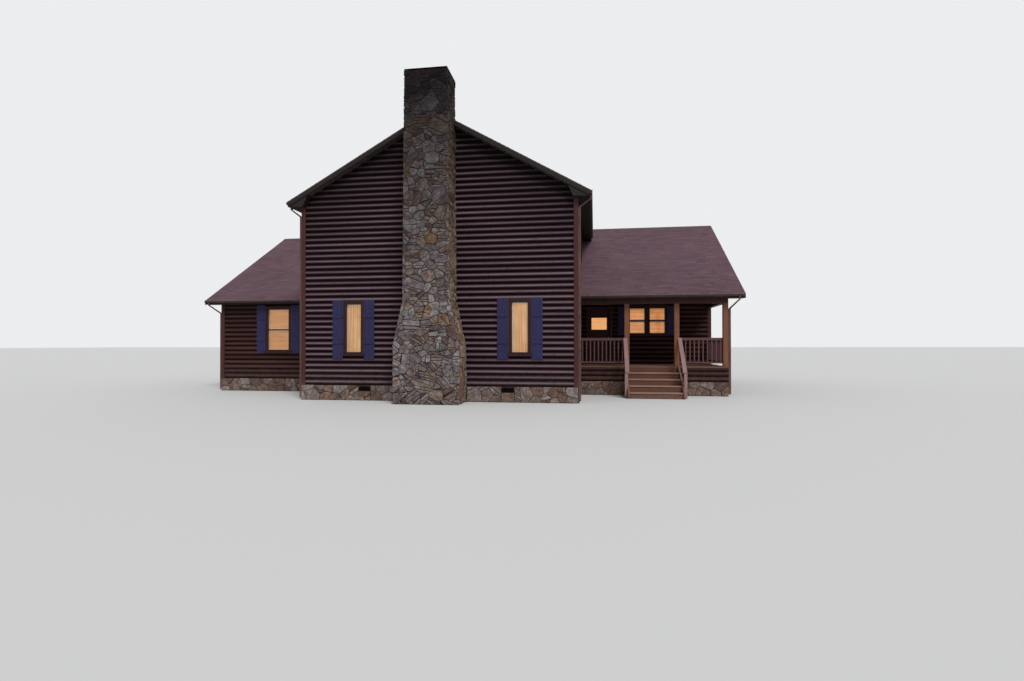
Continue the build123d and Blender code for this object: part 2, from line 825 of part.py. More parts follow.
stringer_heel = stringer_front + (stringer_depth - stringer_top(stringer_front)) / pitch
stringer = prism_x(
    [
        (stringer_front, 0),
        (stringer_heel, 0),
        (wing_front, stringer_top(wing_front) - stringer_depth),
        (wing_front, deck_bottom),
        (wing_front - deck_nosing, deck_bottom),
        (wing_front - deck_nosing, stringer_top(wing_front - deck_nosing)),
        (stringer_front, stringer_top(stringer_front)),
    ],
    treads_to,
    treads_to + stringer_thickness,
)
steps_middle = Plane.YZ.offset(steps_x)
nodes["step_stringers"] = [stringer, mirror(stringer, about=steps_middle)]

# Handrails of the steps on their newels
handrail_slope = (rail_top - handrail_low[1]) / (wing_front - handrail_low[0])
newel_front = handrail_low[0] + newel_setback
newel_back = newel_front + newel_size


def handrail_under(y):
    """Height of the handrails' lower face."""
    return handrail_low[1] - handrail_thickness + handrail_slope * (y - handrail_low[0])


handrail = prism_x(
    [
        (handrail_low[0], handrail_under(handrail_low[0])),
        (wing_front, rail_top - handrail_thickness),
        (wing_front, rail_top),
        handrail_low,
    ],
    treads_to,
    treads_to + handrail_width,
)
newel_outline = [
    (newel_front, 0),
    (newel_back, 0),
    (newel_back, handrail_under(newel_back) - joint_gap),
    (newel_front, handrail_under(newel_front) - joint_gap),
]
newel_from = treads_to + stringer_thickness
newel = prism_x(newel_outline, newel_from, newel_from + newel_size)
nodes["step_handrails"] = [
    handrail,
    newel,
    mirror(handrail, about=steps_middle),
    mirror(newel, about=steps_middle),
]

# Front door in its casing
leaf_front = right_reach - door_thickness
gap_from = door_x - door_gap
gap_to = door_x + door_width + door_gap
gap_top = door_top + door_gap
sill_top = floor_level + threshold
rebate = leaf_front - door_gap
door_frame = block(casing_from, casing_to, porch_back - proud, right_reach, floor_level, casing_top)
door_frame -= block(gap_from, gap_to, rebate, right_reach, sill_top, gap_top)
door_frame -= block(
    gap_from + door_stop, gap_to - door_stop, porch_back - proud, rebate, sill_top, gap_top - door_stop
)
nodes["door_frame"] = [door_frame]


def door_panel_box(size, sill, y_from, y_to):
    """A box in the middle of the door's width, at a height above its foot."""
    middle = door_x + door_width / 2
    low = door_bottom + sill
    return block(middle - size[0] / 2, middle + size[0] / 2, y_from, y_to, low, low + size[1])


pane_front = leaf_front + (door_thickness - glass_thickness) / 2
leaf = block(door_x, door_x + door_width, leaf_front, right_reach, door_bottom, door_top)
leaf -= door_panel_box(door_light, door_light_sill, leaf_front, right_reach)
leaf -= door_panel_box(door_panel, door_panel_sill, leaf_front, leaf_front + door_panel_depth)
nodes["front_door"] = [leaf]
nodes["door_glass"] = [door_panel_box(door_light, door_light_sill, pane_front, pane_front + glass_thickness)]


def round_bar(radius, sides, z_from, z_to):
    """A bar along +Z with flats round it."""
    return extrude(Plane.XY.offset(z_from) * RegularPolygon(radius, sides), amount=z_to - z_from)


def knob():
    """A turned knob on its rose and stem, standing along +Z."""
    rose = round_bar(knob_rose[0], knob_sides, 0, knob_rose[1])
    stem = round_bar(knob_stem, knob_sides, 0, knob_reach)
    head = round_bar(knob_radius, knob_sides, knob_reach - knob_depth / 2, knob_reach + knob_depth / 2)
    ends = head.faces().sort_by(Axis.Z)
    head = chamfer(ends[0].edges() + ends[-1].edges(), knob_chamfer)
    return rose + stem + head


knob_x = door_x + door_width - knob_inset
knob_z = door_bottom + knob_height
nodes["door_knobs"] = [
    Pos(knob_x, leaf_front, knob_z) * Rot(90, 0, 0) * knob(),
    Pos(knob_x, right_reach, knob_z) * Rot(-90, 0, 0) * knob(),
]

# Hinges: pin and outer knuckles on the casing, middle knuckle on the door
hinge_x = door_x - door_gap / 2
hinge_y = right_reach + hinge_setback
plate_width, plate_thickness = hinge_plate
pin_hinges = []
door_hinges = []
for height in hinge_heights:
    z_from = door_bottom + height
    z_to = z_from + hinge_length
    knuckle_from = z_from + 0.3 * hinge_length
    knuckle_to = z_to - 0.3 * hinge_length
    upright = Pos(hinge_x, hinge_y, 0)
    plate_back = right_reach + plate_thickness
    fixed = upright * round_bar(knuckle_radius, hinge_sides, z_from, z_to)
    fixed += block(gap_from - plate_width, hinge_x, right_reach, plate_back, z_from, z_to)
    fixed -= block(gap_from, door_x + plate_width, 0, far, knuckle_from, knuckle_to)
    fixed -= block(hinge_x - 2 * knuckle_radius, hinge_x, 0, far, knuckle_from, knuckle_to)
    fixed += upright * round_bar(hinge_pin_radius, hinge_sides, z_from, z_to)
    middle = (knuckle_from + joint_gap, knuckle_to - joint_gap)
    swinging = upright * round_bar(knuckle_radius, hinge_sides, *middle)
    swinging += block(hinge_x, door_x + plate_width, right_reach, plate_back, *middle)
    swinging -= upright * round_bar(hinge_pin_radius + joint_gap, hinge_sides, *middle)
    pin_hinges.append(fixed)
    door_hinges.append(swinging)
nodes["hinge_pins"] = pin_hinges
nodes["hinge_leaves"] = door_hinges

# Everything moves so that the origin is under the middle of the house
shift = Pos(0, -middle_y, 0)
os.makedirs("parts", exist_ok=True)
for name, pieces in nodes.items():
    solids = [solid for piece in pieces for solid in (shift * piece).solids()]
    export_step(Compound(solids), f"parts/{name}.step")
    print(name, len(solids))
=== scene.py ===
import math
import random

import bmesh
import bpy
from mathutils import Matrix, Vector


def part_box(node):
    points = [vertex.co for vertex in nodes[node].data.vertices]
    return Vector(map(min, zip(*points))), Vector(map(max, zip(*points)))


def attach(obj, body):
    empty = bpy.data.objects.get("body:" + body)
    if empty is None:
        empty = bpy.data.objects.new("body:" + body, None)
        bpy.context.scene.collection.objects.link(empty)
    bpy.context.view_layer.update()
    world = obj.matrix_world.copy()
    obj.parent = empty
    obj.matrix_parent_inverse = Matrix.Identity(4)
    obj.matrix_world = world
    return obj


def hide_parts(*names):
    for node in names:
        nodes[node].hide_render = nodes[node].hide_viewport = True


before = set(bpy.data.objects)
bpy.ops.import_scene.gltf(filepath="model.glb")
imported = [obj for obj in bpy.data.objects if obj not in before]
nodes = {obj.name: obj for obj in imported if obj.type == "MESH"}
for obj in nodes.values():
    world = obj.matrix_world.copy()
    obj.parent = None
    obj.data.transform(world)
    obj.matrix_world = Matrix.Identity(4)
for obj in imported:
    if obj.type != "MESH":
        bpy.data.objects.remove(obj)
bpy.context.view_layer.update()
random.seed(27)
print("cabin frame loaded,", len(nodes), "solids nodes")

# Main lines of the house in metres, in the frame's axes
house = {
    "frontWall": -5.8725,  # crests of the tall gable's front logs
    "rearWall": 6.4275,
    "halfMain": 4.05,
    "halfHouse": 8.6,
    "wingFront": -3.1725,
    "porchBack": -0.5725,
    "logStart": 0.44,
    "logCourse": 0.16,
    "mainRidge": 8.25,
    "mainSlope": 0.56,
    "mainEdge": 4.38,
    "mainRoofFront": -6.0675,
    "mainRoofRear": 6.6225,
    "mainSoffit": 5.65,
    "wingRidge": 6.285,
    "wingRidgeY": 1.6275,
    "wingSlope": 0.615,
    "wingEaveY": -3.4225,
    "wingEdge": 9.025,
    "board": 0.025,  # thickness of rake and eave boards
}
frontY, rearY, wingY = house["frontWall"], house["rearWall"], house["wingFront"]
halfMain, halfHouse = house["halfMain"], house["halfHouse"]
mainEdge, wingEdge = house["mainEdge"], house["wingEdge"]
roofFront, roofRear = house["mainRoofFront"], house["mainRoofRear"]
eaveY, ridgeY = house["wingEaveY"], house["wingRidgeY"]


# A socket together with its tree; arithmetic with wires adds Math nodes
class Wire:
    def __init__(self, tree, socket):
        self.tree, self.socket = tree, socket

    def __add__(self, other):
        return combine("ADD", self, other)

    def __sub__(self, other):
        return combine("SUBTRACT", self, other)

    def __rsub__(self, other):
        return combine("SUBTRACT", other, self)

    def __mul__(self, other):
        return combine("MULTIPLY", self, other)

    def __truediv__(self, other):
        return combine("DIVIDE", self, other)

    def __pow__(self, other):
        return combine("POWER", self, other)

    def __abs__(self):
        return combine("ABSOLUTE", self)


def plug(socket, value):
    if isinstance(value, Wire):
        value.tree.links.new(value.socket, socket)
    elif socket.type == "RGBA":
        socket.default_value = (*value, 1)
    else:
        socket.default_value = value


def combine(operation, *values):
    tree = next(value.tree for value in values if isinstance(value, Wire))
    node = tree.nodes.new("ShaderNodeMath")
    node.operation = operation
    for socket, value in zip(node.inputs, values):
        plug(socket, value)
    return Wire(tree, node.outputs[0])


def clamped(wire):
    wire.socket.node.use_clamp = True
    return wire


# The settings name a node's properties, or its inputs with _ for a space
def addNode(tree, kind, output=0, **settings):
    node = tree.nodes.new("ShaderNode" + kind)
    for label, value in settings.items():
        if hasattr(node, label):
            setattr(node, label, value)
        else:
            plug(node.inputs[label.replace("_", " ")], value)
    return Wire(tree, node.outputs[output])


def vectorMath(operation, a, b, output="Vector"):
    node = a.tree.nodes.new("ShaderNodeVectorMath")
    node.operation = operation
    plug(node.inputs[0], a)
    plug(node.inputs["Scale" if operation == "SCALE" else 1], b)
    return Wire(a.tree, node.outputs[output])


def axis(vector, name):
    return addNode(vector.tree, "SeparateXYZ", name, Vector=vector)


def stretched(vector, scale):
    return addNode(vector.tree, "Mapping", Scale=scale, Vector=vector)


def noise(vector, scale, detail=4, roughness=0.55, distortion=0.0):
    settings = {"Scale": scale, "Detail": detail, "Roughness": roughness, "Distortion": distortion}
    return addNode(vector.tree, "TexNoise", "Fac", Vector=vector, **settings)


def spread(value, low, high, newLow, newHigh):
    limits = {"From_Min": low, "From_Max": high, "To_Min": newLow, "To_Max": newHigh}
    return addNode(value.tree, "MapRange", "Result", clamp=True, Value=value, **limits)


def mixColour(factor, a, b):
    node = factor.tree.nodes.new("ShaderNodeMix")
    node.data_type = "RGBA"
    for place, value in ((0, factor), (6, a), (7, b)):
        plug(node.inputs[place], value)
    return Wire(factor.tree, node.outputs[2])


def ramp(factor, stops, interpolation="LINEAR"):
    node = factor.tree.nodes.new("ShaderNodeValToRGB")
    node.color_ramp.interpolation = interpolation
    elements = node.color_ramp.elements
    for i, (position, colour) in enumerate(stops):
        element = elements[i] if i < 2 else elements.new(position)
        element.position, element.color = position, (*colour, 1)
    plug(node.inputs["Fac"], factor)
    return Wire(factor.tree, node.outputs["Color"])


# Shader groups; an input without a value is a vector
def openGroup(name, **inputs):
    group = bpy.data.node_groups.new(name, "ShaderNodeTree")
    for label, value in inputs.items():
        kind = "NodeSocketVector" if value is None else "NodeSocketFloat"
        socket = group.interface.new_socket(label, in_out="INPUT", socket_type=kind)
        if value is not None:
            socket.default_value = value
    start = group.nodes.new("NodeGroupInput")
    return group, [Wire(group, start.outputs[label]) for label in inputs]


def closeGroup(group, **outputs):
    for label, wire in outputs.items():
        kind = "NodeSocketVector" if wire.socket.type == "VECTOR" else "NodeSocketFloat"
        group.interface.new_socket(label, in_out="OUTPUT", socket_type=kind)
    end = group.nodes.new("NodeGroupOutput")
    for label, wire in outputs.items():
        plug(end.inputs[label], wire)
    return group


def useGroup(tree, group, **values):
    node = tree.nodes.new("ShaderNodeGroup")
    node.node_tree = group
    for label, value in values.items():
        plug(node.inputs[label], value)
    return {socket.name: Wire(tree, socket) for socket in node.outputs}


# Wood grain shared by all boards and logs: long streaks along one axis, pores and soft blotches
def buildGrainGroup():
    group, (vector, streak) = openGroup("wood grain", Vector=None, Streak=1.0)
    streaks = noise(stretched(vector, (0.9, 26, 26)), 2.4, 6, 0.62, 0.6)
    pores = noise(stretched(vector, (5, 170, 170)), 2.0, 3, 0.6)
    grain = (streaks * 0.7 + pores * 0.3 - 0.5) * streak
    return closeGroup(group, Grain=grain + 0.5, Blotch=noise(vector, 1.7, 3, 0.5), Height=grain)


# Edge wear and painted highlight: lighter where a corner is sharp, and the rounded normal that goes with
# it
def buildEdgeGroup():
    group, (radius,) = openGroup("edge wear and painted highlight", Radius=0.006)
    rounded = addNode(group, "Bevel", "Normal", samples=4, Radius=radius)
    sharpness = vectorMath("DOT_PRODUCT", rounded, addNode(group, "NewGeometry", "Normal"), "Value")
    return closeGroup(group, Edge=spread(sharpness, 0.97, 0.75, 0, 1), Normal=rounded)


# Painted shade made patchy like grime: ambient occlusion darkens grooves and corners
def buildGrimeGroup():
    group, (reach, amount) = openGroup("painted shade and grime in corners", Reach=0.04, Amount=0.6)
    place = addNode(group, "TexCoord", "Object")
    patches = spread(noise(place, 9, 4, 0.6), 0.3, 0.65, 0.7, 1)
    # Painted shade: ambient occlusion finds the corners and grooves to darken
    corners = addNode(group, "AmbientOcclusion", "AO", samples=6, Distance=reach)
    hidden = spread(corners, 0.9, 0.45, 0, 1)
    return closeGroup(group, Grime=clamped(hidden * patches * amount))


# Dust and splashes that gather near the ground and on faces that look up
def buildDustGroup():
    group, (height, amount) = openGroup("ground dust", Height=0.9, Amount=0.5)
    place = addNode(group, "TexCoord", "Object")
    low = clamped(1.0 - axis(place, "Z") / height) ** 1.6
    up = combine("MAXIMUM", axis(addNode(group, "NewGeometry", "True Normal"), "Z"), 0.0) * 0.35
    patches = spread(noise(place, 6.5, 5, 0.6), 0.35, 0.7, 0.2, 1)
    return closeGroup(group, Dust=clamped((low + up) * patches * amount))


grainGroup = buildGrainGroup()
edgeGroup = buildEdgeGroup()
shadeAndGrimeGroup = buildGrimeGroup()
dustGroup = buildDustGroup()
dustColour = (0.19, 0.15, 0.12)
# Colour of the painted shade in corners and grooves, also standing for grime
shadeAndGrimeColour = (0.008, 0.005, 0.005)


def withDust(colour, height, amount, tint=dustColour):
    dust = useGroup(colour.tree, dustGroup, Height=height, Amount=amount)
    return mixColour(dust["Dust"], colour, tint)


# Mixes in the painted shade of corners and grooves, patchy like grime
def withGrime(colour, reach, amount):
    shadeAndGrime = useGroup(colour.tree, shadeAndGrimeGroup, Reach=reach, Amount=amount)
    return mixColour(shadeAndGrime["Grime"], colour, shadeAndGrimeColour)


def startMaterial(name):
    material = bpy.data.materials.new(name)
    material.use_nodes = True
    return material, addNode(material.node_tree, "TexCoord", "Object")


# Colour, roughness and bump reach the shader here; others name more of its inputs
# A bump is its strength and its distance in metres
def finishSurface(
    material, colour, roughness, height=None, bump=(0, 0), edge=None, gloss=0.12, **others
):
    inputs = material.node_tree.nodes["Principled BSDF"].inputs
    if height:
        rounded = {"Normal": edge["Normal"]} if edge else {}
        settings = {"Strength": bump[0], "Distance": bump[1], "Height": height, **rounded}
        plug(inputs["Normal"], addNode(material.node_tree, "Bump", **settings))
    others.update({"Base_Color": colour, "Roughness": roughness, "Specular_IOR_Level": gloss})
    for label, value in others.items():
        plug(inputs[label.replace("_", " ")], value)
    return material


# The axis that the grain runs along is turned onto X
grainTurns = {"x": (0, 0, 0), "y": (0, 0, math.radians(90)), "z": (0, math.radians(90), 0)}


def turned(place, along):
    settings = {"vector_type": "TEXTURE", "Rotation": grainTurns[along]}
    return addNode(place.tree, "Mapping", Vector=place, **settings)


woodDefaults = {
    "gloss": 0.15,
    "streak": 1.2,
    "edge": 0.006,
    "wearAndHighlight": 0.5,
    "fade": 0.35,
    "dust": 0.5,
    "dustHeight": 0.9,
    # Painted shade in corners and grooves, patchy like grime, and its reach
    "shadeAndGrime": 0.5,
    "shadeAndGrimeReach": 0.04,
    "bump": 0.5,
}


def woodMaterial(name, look, along):
    look = {**woodDefaults, **look}
    material, place = startMaterial(name)
    grain = useGroup(place.tree, grainGroup, Vector=turned(place, along), Streak=look["streak"])
    edge = useGroup(place.tree, edgeGroup, Radius=look["edge"])
    colour = ramp(grain["Grain"], [(0.3, look["dark"]), (0.7, look["light"])])
    colour = mixColour(grain["Blotch"] * look["fade"], colour, look["faded"])
    # Sharp edges lightened: wear and a painted highlight
    colour = mixColour(edge["Edge"] * look["wearAndHighlight"], colour, look["wornAndHighlit"])
    colour = withDust(colour, look["dustHeight"], look["dust"])
    # Corners and grooves darkened: painted shade, patchy like grime
    colour = withGrime(colour, look["shadeAndGrimeReach"], look["shadeAndGrime"])
    roughness = spread(grain["Grain"], 0.3, 0.7, look["rough"] + 0.08, look["rough"] - 0.06)
    bump = (look["bump"], 0.004)
    return finishSurface(material, colour, roughness, grain["Height"], bump, edge, look["gloss"])


# Log walls: a painted highlight along the crest of each course, painted shade below it in the grooves
def logMaterial(name, along, look):
    material, place = startMaterial(name)
    tree = place.tree
    z = axis(place, "Z")
    course = (z - house["logStart"]) / house["logCourse"]
    number = combine("FLOOR", course)
    shade = addNode(tree, "TexWhiteNoise", "Value", noise_dimensions="1D", W=number)
    vector = vectorMath("ADD", turned(place, along), addNode(tree, "CombineXYZ", X=shade * 37))
    grain = useGroup(tree, grainGroup, Vector=vector, Streak=1.3)
    # Painted highlight, brightest a little above the middle of each course
    away = abs(combine("FRACT", course) - look["crest"])
    pale = spread(away, look["highlightHalf"], look["darkHalf"], 1, 0) ** 1.35
    pale = clamped(pale * (grain["Grain"] * 0.9 + 0.55))
    colour = mixColour(pale, look["shadeAndCrackColour"], look["crestHighlight"])
    colour = mixColour(grain["Blotch"] * look["warmShare"], colour, look["warm"])
    # Painted shade: the courses close under the roof are darkened
    roofSlope = abs(axis(place, look["roofAxis"]) - look["roofMiddle"]) * look["roofSlope"]
    under = look["roofPeak"] - roofSlope - z
    eaveShade = spread(under, look["eaveShadeFrom"], look["eaveShadeTo"], look["eaveShadeLeast"], 1)
    colour = vectorMath("SCALE", colour, spread(shade, 0, 1, 0.74, 1.2) * eaveShade)
    # Drying cracks and the butt joints of log lengths
    cracks = noise(stretched(vector, (0.55, 9, 9)), 3.1, 2, 0.4)
    crack = spread(abs(cracks - 0.5), 0, 0.012, 1, 0)
    lengths = combine("FRACT", axis(vector, "X") / look["logLength"])
    joint = spread(abs(lengths - 0.5), 0.0006, 0.0012, 1, 0)
    marks = combine("MAXIMUM", crack * 0.75, joint)
    colour = withDust(mixColour(marks, colour, look["shadeAndCrackColour"]), 1.2, look["dust"])
    roughness = spread(grain["Grain"], 0.3, 0.7, 0.66, 0.5)
    height = grain["Height"] - marks * 0.8
    return finishSurface(material, colour, roughness, height, (0.55, 0.006), gloss=look["gloss"])


logLook = {
    # The crest colour is a painted highlight; the groove colour is painted shade, and also the colour of
    # cracks and joints
    "crestHighlight": (0.19, 0.145, 0.172),
    "shadeAndCrackColour": (0.0035, 0.0004, 0.002),
    "warm": (0.06, 0.011, 0.014),
    "warmShare": 0.32,
    "gloss": 0.05,
    "crest": 0.62,
    "highlightHalf": 0.02,
    "darkHalf": 0.3,
    "dust": 0.3,
    "logLength": 4.3,
    "roofAxis": "X",
    "roofMiddle": 0.0,
    "roofPeak": house["mainRidge"],
    "roofSlope": house["mainSlope"],
    # Painted shade under the roof: its reach below the roof line and its darkest share
    "eaveShadeFrom": 0.3,
    "eaveShadeTo": 2.3,
    "eaveShadeLeast": 0.3,
}
redLogLook = {
    **logLook,
    # Redder painted highlight on the crests and painted shade in the grooves
    "crestHighlight": (0.085, 0.044, 0.043),
    "shadeAndCrackColour": (0.005, 0.0012, 0.0012),
    "warm": (0.05, 0.013, 0.011),
    "warmShare": 0.5,
    "darkHalf": 0.42,
    "roofAxis": "Y",
    "roofMiddle": ridgeY,
    "roofPeak": house["wingRidge"],
    "roofSlope": house["wingSlope"],
    # Painted shade under the wing roofs
    "eaveShadeFrom": 0.9,
    "eaveShadeTo": 2.4,
    "eaveShadeLeast": 0.75,
}
logsAlongX = logMaterial("stained logs along the front", "x", logLook)
logsAlongY = logMaterial("stained logs along the sides", "y", logLook)
wingLogsAlongX = logMaterial("redder logs of the wings, front", "x", redLogLook)
wingLogsAlongY = logMaterial("redder logs of the wings, sides", "y", redLogLook)


def recoloured(look, light, dark, faded):
    return {**look, "light": light, "dark": dark, "faded": faded}


trimLook = {
    "light": (0.078, 0.029, 0.027),
    "dark": (0.03, 0.009, 0.009),
    "faded": (0.082, 0.034, 0.032),
    "wornAndHighlit": (0.16, 0.09, 0.08),
    "rough": 0.55,
    "fade": 0.4,
    "dust": 0.55,
}
frameLook = {
    **trimLook,
    "light": (0.045, 0.017, 0.017),
    "dark": (0.019, 0.006, 0.006),
    "faded": (0.055, 0.025, 0.025),
    # Dark inner corners of the frames are painted shade
    "shadeAndGrime": 0.9,
}
fasciaLook = {
    **trimLook,
    "light": (0.024, 0.02, 0.017),
    "dark": (0.009, 0.006, 0.006),
    "faded": (0.034, 0.029, 0.026),
    "wornAndHighlit": (0.1, 0.085, 0.078),
}
porchLook = {
    "light": (0.26, 0.12, 0.085),
    "dark": (0.12, 0.05, 0.036),
    "faded": (0.26, 0.155, 0.13),
    "wornAndHighlit": (0.38, 0.25, 0.2),
    "rough": 0.62,
    "fade": 0.5,
}
railLook = recoloured(porchLook, (0.13, 0.062, 0.06), (0.06, 0.024, 0.024), (0.15, 0.085, 0.085))
postLook = recoloured(porchLook, (0.25, 0.1, 0.05), (0.11, 0.04, 0.02), (0.24, 0.12, 0.075))
handrailLook = recoloured(porchLook, (0.36, 0.21, 0.21), (0.2, 0.105, 0.105), (0.38, 0.25, 0.25))
treadLook = recoloured(porchLook, (0.4, 0.215, 0.155), (0.2, 0.09, 0.058), (0.42, 0.27, 0.21))
# Risers darker than the treads: painted shade under the nosings
shadedRiserLook = recoloured(porchLook, (0.15, 0.062, 0.043), (0.075, 0.028, 0.018), (0.16, 0.085, 0.065))
deckLook = recoloured(porchLook, (0.2, 0.105, 0.072), (0.09, 0.042, 0.026), (0.22, 0.13, 0.1))
innerLook = {
    "light": (0.45, 0.29, 0.16),
    "dark": (0.27, 0.155, 0.08),
    "faded": (0.42, 0.28, 0.17),
    "wornAndHighlit": (0.5, 0.36, 0.22),
    "rough": 0.6,
    "fade": 0.3,
    "dust": 0.1,
}
shutterLook = {
    "light": (0.034, 0.031, 0.098),
    "dark": (0.012, 0.011, 0.046),
    "faded": (0.048, 0.044, 0.115),
    # Wide pale board edges: wear and a painted highlight along them
    "wornAndHighlit": (0.14, 0.13, 0.25),
    "edge": 0.014,
    "wearAndHighlight": 1.0,
    # Strong painted shade beside the battens and in the board grooves
    "shadeAndGrime": 1.0,
    "shadeAndGrimeReach": 0.06,
    "gloss": 0.12,
    "rough": 0.5,
    "fade": 0.4,
    "dust": 0.3,
    "bump": 0.3,
    "streak": 1.0,
}
sashLook = {
    "light": (0.72, 0.62, 0.56),
    "dark": (0.6, 0.5, 0.44),
    "faded": (0.68, 0.58, 0.52),
    "wornAndHighlit": (0.8, 0.72, 0.66),
    "rough": 0.45,
    "bump": 0.1,
    "dust": 0.2,
    "shadeAndGrime": 0.3,
}
trimUp = woodMaterial("red brown trim, upright", trimLook, "z")
frameUp = woodMaterial("window frames", frameLook, "z")
deckWood = woodMaterial("deck boards", deckLook, "x")
treadWood = woodMaterial("tread and deck boards", treadLook, "x")
innerWood = woodMaterial("inner floor boards", innerLook, "y")
sashPaint = woodMaterial("pale sash paint", sashLook, "z")


# Painted and bare metals
metalDefaults = {
    "gloss": 0.25,
    "edge": 0.003,
    "dust": 0.4,
    "streaks": (14, 14, 0.9),
    "rust": 0.3,
    "metallic": 0,
}
rustColour = (0.13, 0.052, 0.024)


def metalMaterial(name, look):
    look = {**metalDefaults, **look}
    material, place = startMaterial(name)
    edge = useGroup(place.tree, edgeGroup, Radius=look["edge"])
    cloudy = (noise(place, 9, 5, 0.6) + noise(stretched(place, look["streaks"]), 2.2, 4, 0.6)) * 0.5
    colour = ramp(cloudy, [(0.38, look["dark"]), (0.62, look["light"])])
    spots = spread(noise(place, 55, 4, 0.65), 0.62, 0.72, 0, look["rust"])
    colour = mixColour(spots, colour, rustColour)
    # Sharp edges lightened: wear and a painted highlight
    colour = mixColour(edge["Edge"] * 0.5, colour, look["wornAndHighlit"])
    colour = withDust(colour, 1.0, look["dust"])
    roughness = spread(cloudy, 0.3, 0.7, look["rough"] - 0.08, look["rough"] + 0.12)
    others = {"gloss": look["gloss"], "Metallic": look["metallic"]}
    return finishSurface(material, colour, roughness, cloudy, (0.25, 0.003), edge, **others)


gutterLook = {
    "light": (0.07, 0.036, 0.034),
    "dark": (0.03, 0.013, 0.012),
    "wornAndHighlit": (0.2, 0.15, 0.15),
    "rough": 0.45,
    "streaks": (0.9, 0.9, 9),
}
spoutLook = {
    "light": (0.13, 0.068, 0.058),
    "dark": (0.065, 0.03, 0.026),
    "wornAndHighlit": (0.25, 0.17, 0.15),
    "rough": 0.45,
    "rust": 0.2,
}
# Pale lip colour: a painted highlight along the gutters' rolled lips
lipHighlightLook = {
    "light": (0.2, 0.15, 0.155),
    "dark": (0.11, 0.075, 0.078),
    "wornAndHighlit": (0.3, 0.25, 0.25),
    "rough": 0.4,
    "rust": 0.1,
}
ventLook = {
    "light": (0.007, 0.004, 0.004),
    "dark": (0.002, 0.001, 0.001),
    "wornAndHighlit": (0.03, 0.02, 0.02),
    "rough": 0.8,
    "dust": 0.02,
    "gloss": 0.04,
}
flashingLook = {
    "light": (0.09, 0.062, 0.06),
    "dark": (0.04, 0.026, 0.024),
    "wornAndHighlit": (0.2, 0.17, 0.16),
    "rough": 0.5,
}
brassLook = {
    "light": (0.6, 0.42, 0.16),
    "dark": (0.34, 0.2, 0.07),
    "wornAndHighlit": (0.75, 0.6, 0.3),
    "rough": 0.32,
    "metallic": 0.9,
    "rust": 0.1,
    "dust": 0,
    "gloss": 0.5,
}
spoutPaint = metalMaterial("downspout paint", spoutLook)
lipHighlightMetal = metalMaterial("gutter lip, painted pale as a highlight", lipHighlightLook)
ventMetal = metalMaterial("vent metal", ventLook)
flashingMetal = metalMaterial("roof flashing", flashingLook)


# Stone: one colour per stone from its tone attribute, with layers, chips, stains and soot
def stoneMaterial(name, look):
    material, place = startMaterial(name)
    tree = place.tree
    tone = addNode(tree, "Attribute", "Fac", attribute_name="tone")
    own = vectorMath("ADD", place, addNode(tree, "CombineXYZ", X=tone * 71, Z=tone * 43))
    coarse = noise(own, 7, 6, 0.6, 0.4)
    fine = noise(place, 85, 5, 0.65)
    layers = noise(stretched(own, (3, 3, 22)), 2.6, 3, 0.55, 0.8)
    # Chips and splits that run another way in every stone
    turn = {"rotation_type": "AXIS_ANGLE", "Axis": (0.3, 0.9, 0.3), "Angle": tone * 61}
    cells = stretched(addNode(tree, "VectorRotate", Vector=own, **turn), (9, 9, 21))
    chips = addNode(tree, "TexVoronoi", "Color", Scale=1, Vector=cells)
    chip = addNode(tree, "SeparateColor", Color=chips)
    borders = {"feature": "DISTANCE_TO_EDGE", "Scale": 1, "Vector": cells}
    split = addNode(tree, "TexVoronoi", "Distance", **borders)
    value = spread(coarse, 0.3, 0.7, 0.6, 1.4) * look["light"]
    value = value * spread(chip, 0, 1, 0.7, 1.3) * spread(split, 0, 0.06, look["split"], 1)
    value = value * spread(layers, 0.35, 0.65, 0.78, 1.16) * spread(fine, 0.3, 0.7, 0.8, 1.18)
    colour = vectorMath("SCALE", ramp(tone, look["colours"], "CONSTANT"), value)
    colour = mixColour(spread(noise(own, 4.2, 4, 0.6), 0.55, 0.75, 0, 0.5), colour, look["stain"])
    # Soot towards the flue mouth, and the stones darker towards the top
    z = axis(place, "Z")
    patchy = spread(noise(place, 3.5, 5, 0.6), 0.25, 0.55, 0.75, 1)
    soot = spread(z, 7.0, 8.6, 0, 1) * patchy * look["soot"]
    colour = mixColour(soot, colour, look["sootColour"])
    colour = vectorMath("SCALE", colour, spread(z, 2.8, 7.0, 1, look["upperTone"]))
    # Dust near the ground, then painted shade in the joints and hollows, patchy like grime
    colour = withGrime(withDust(colour, 0.5, 0.35, look["soil"]), 0.03, 0.45)
    height = coarse * 0.6 + fine * 0.15 + layers * 0.25 + chip * 0.3
    return finishSurface(material, colour, 0.88, height, (1.0, 0.035))


def mortarMaterial():
    material, place = startMaterial("dark mortar")
    grit = noise(place, 60, 5, 0.7)
    both = grit * 0.5 + noise(place, 3, 4, 0.5) * 0.5
    colour = ramp(both, [(0.35, (0.018, 0.011, 0.011)), (0.65, (0.065, 0.047, 0.043))])
    return finishSurface(material, colour, 0.95, grit, (0.8, 0.01))


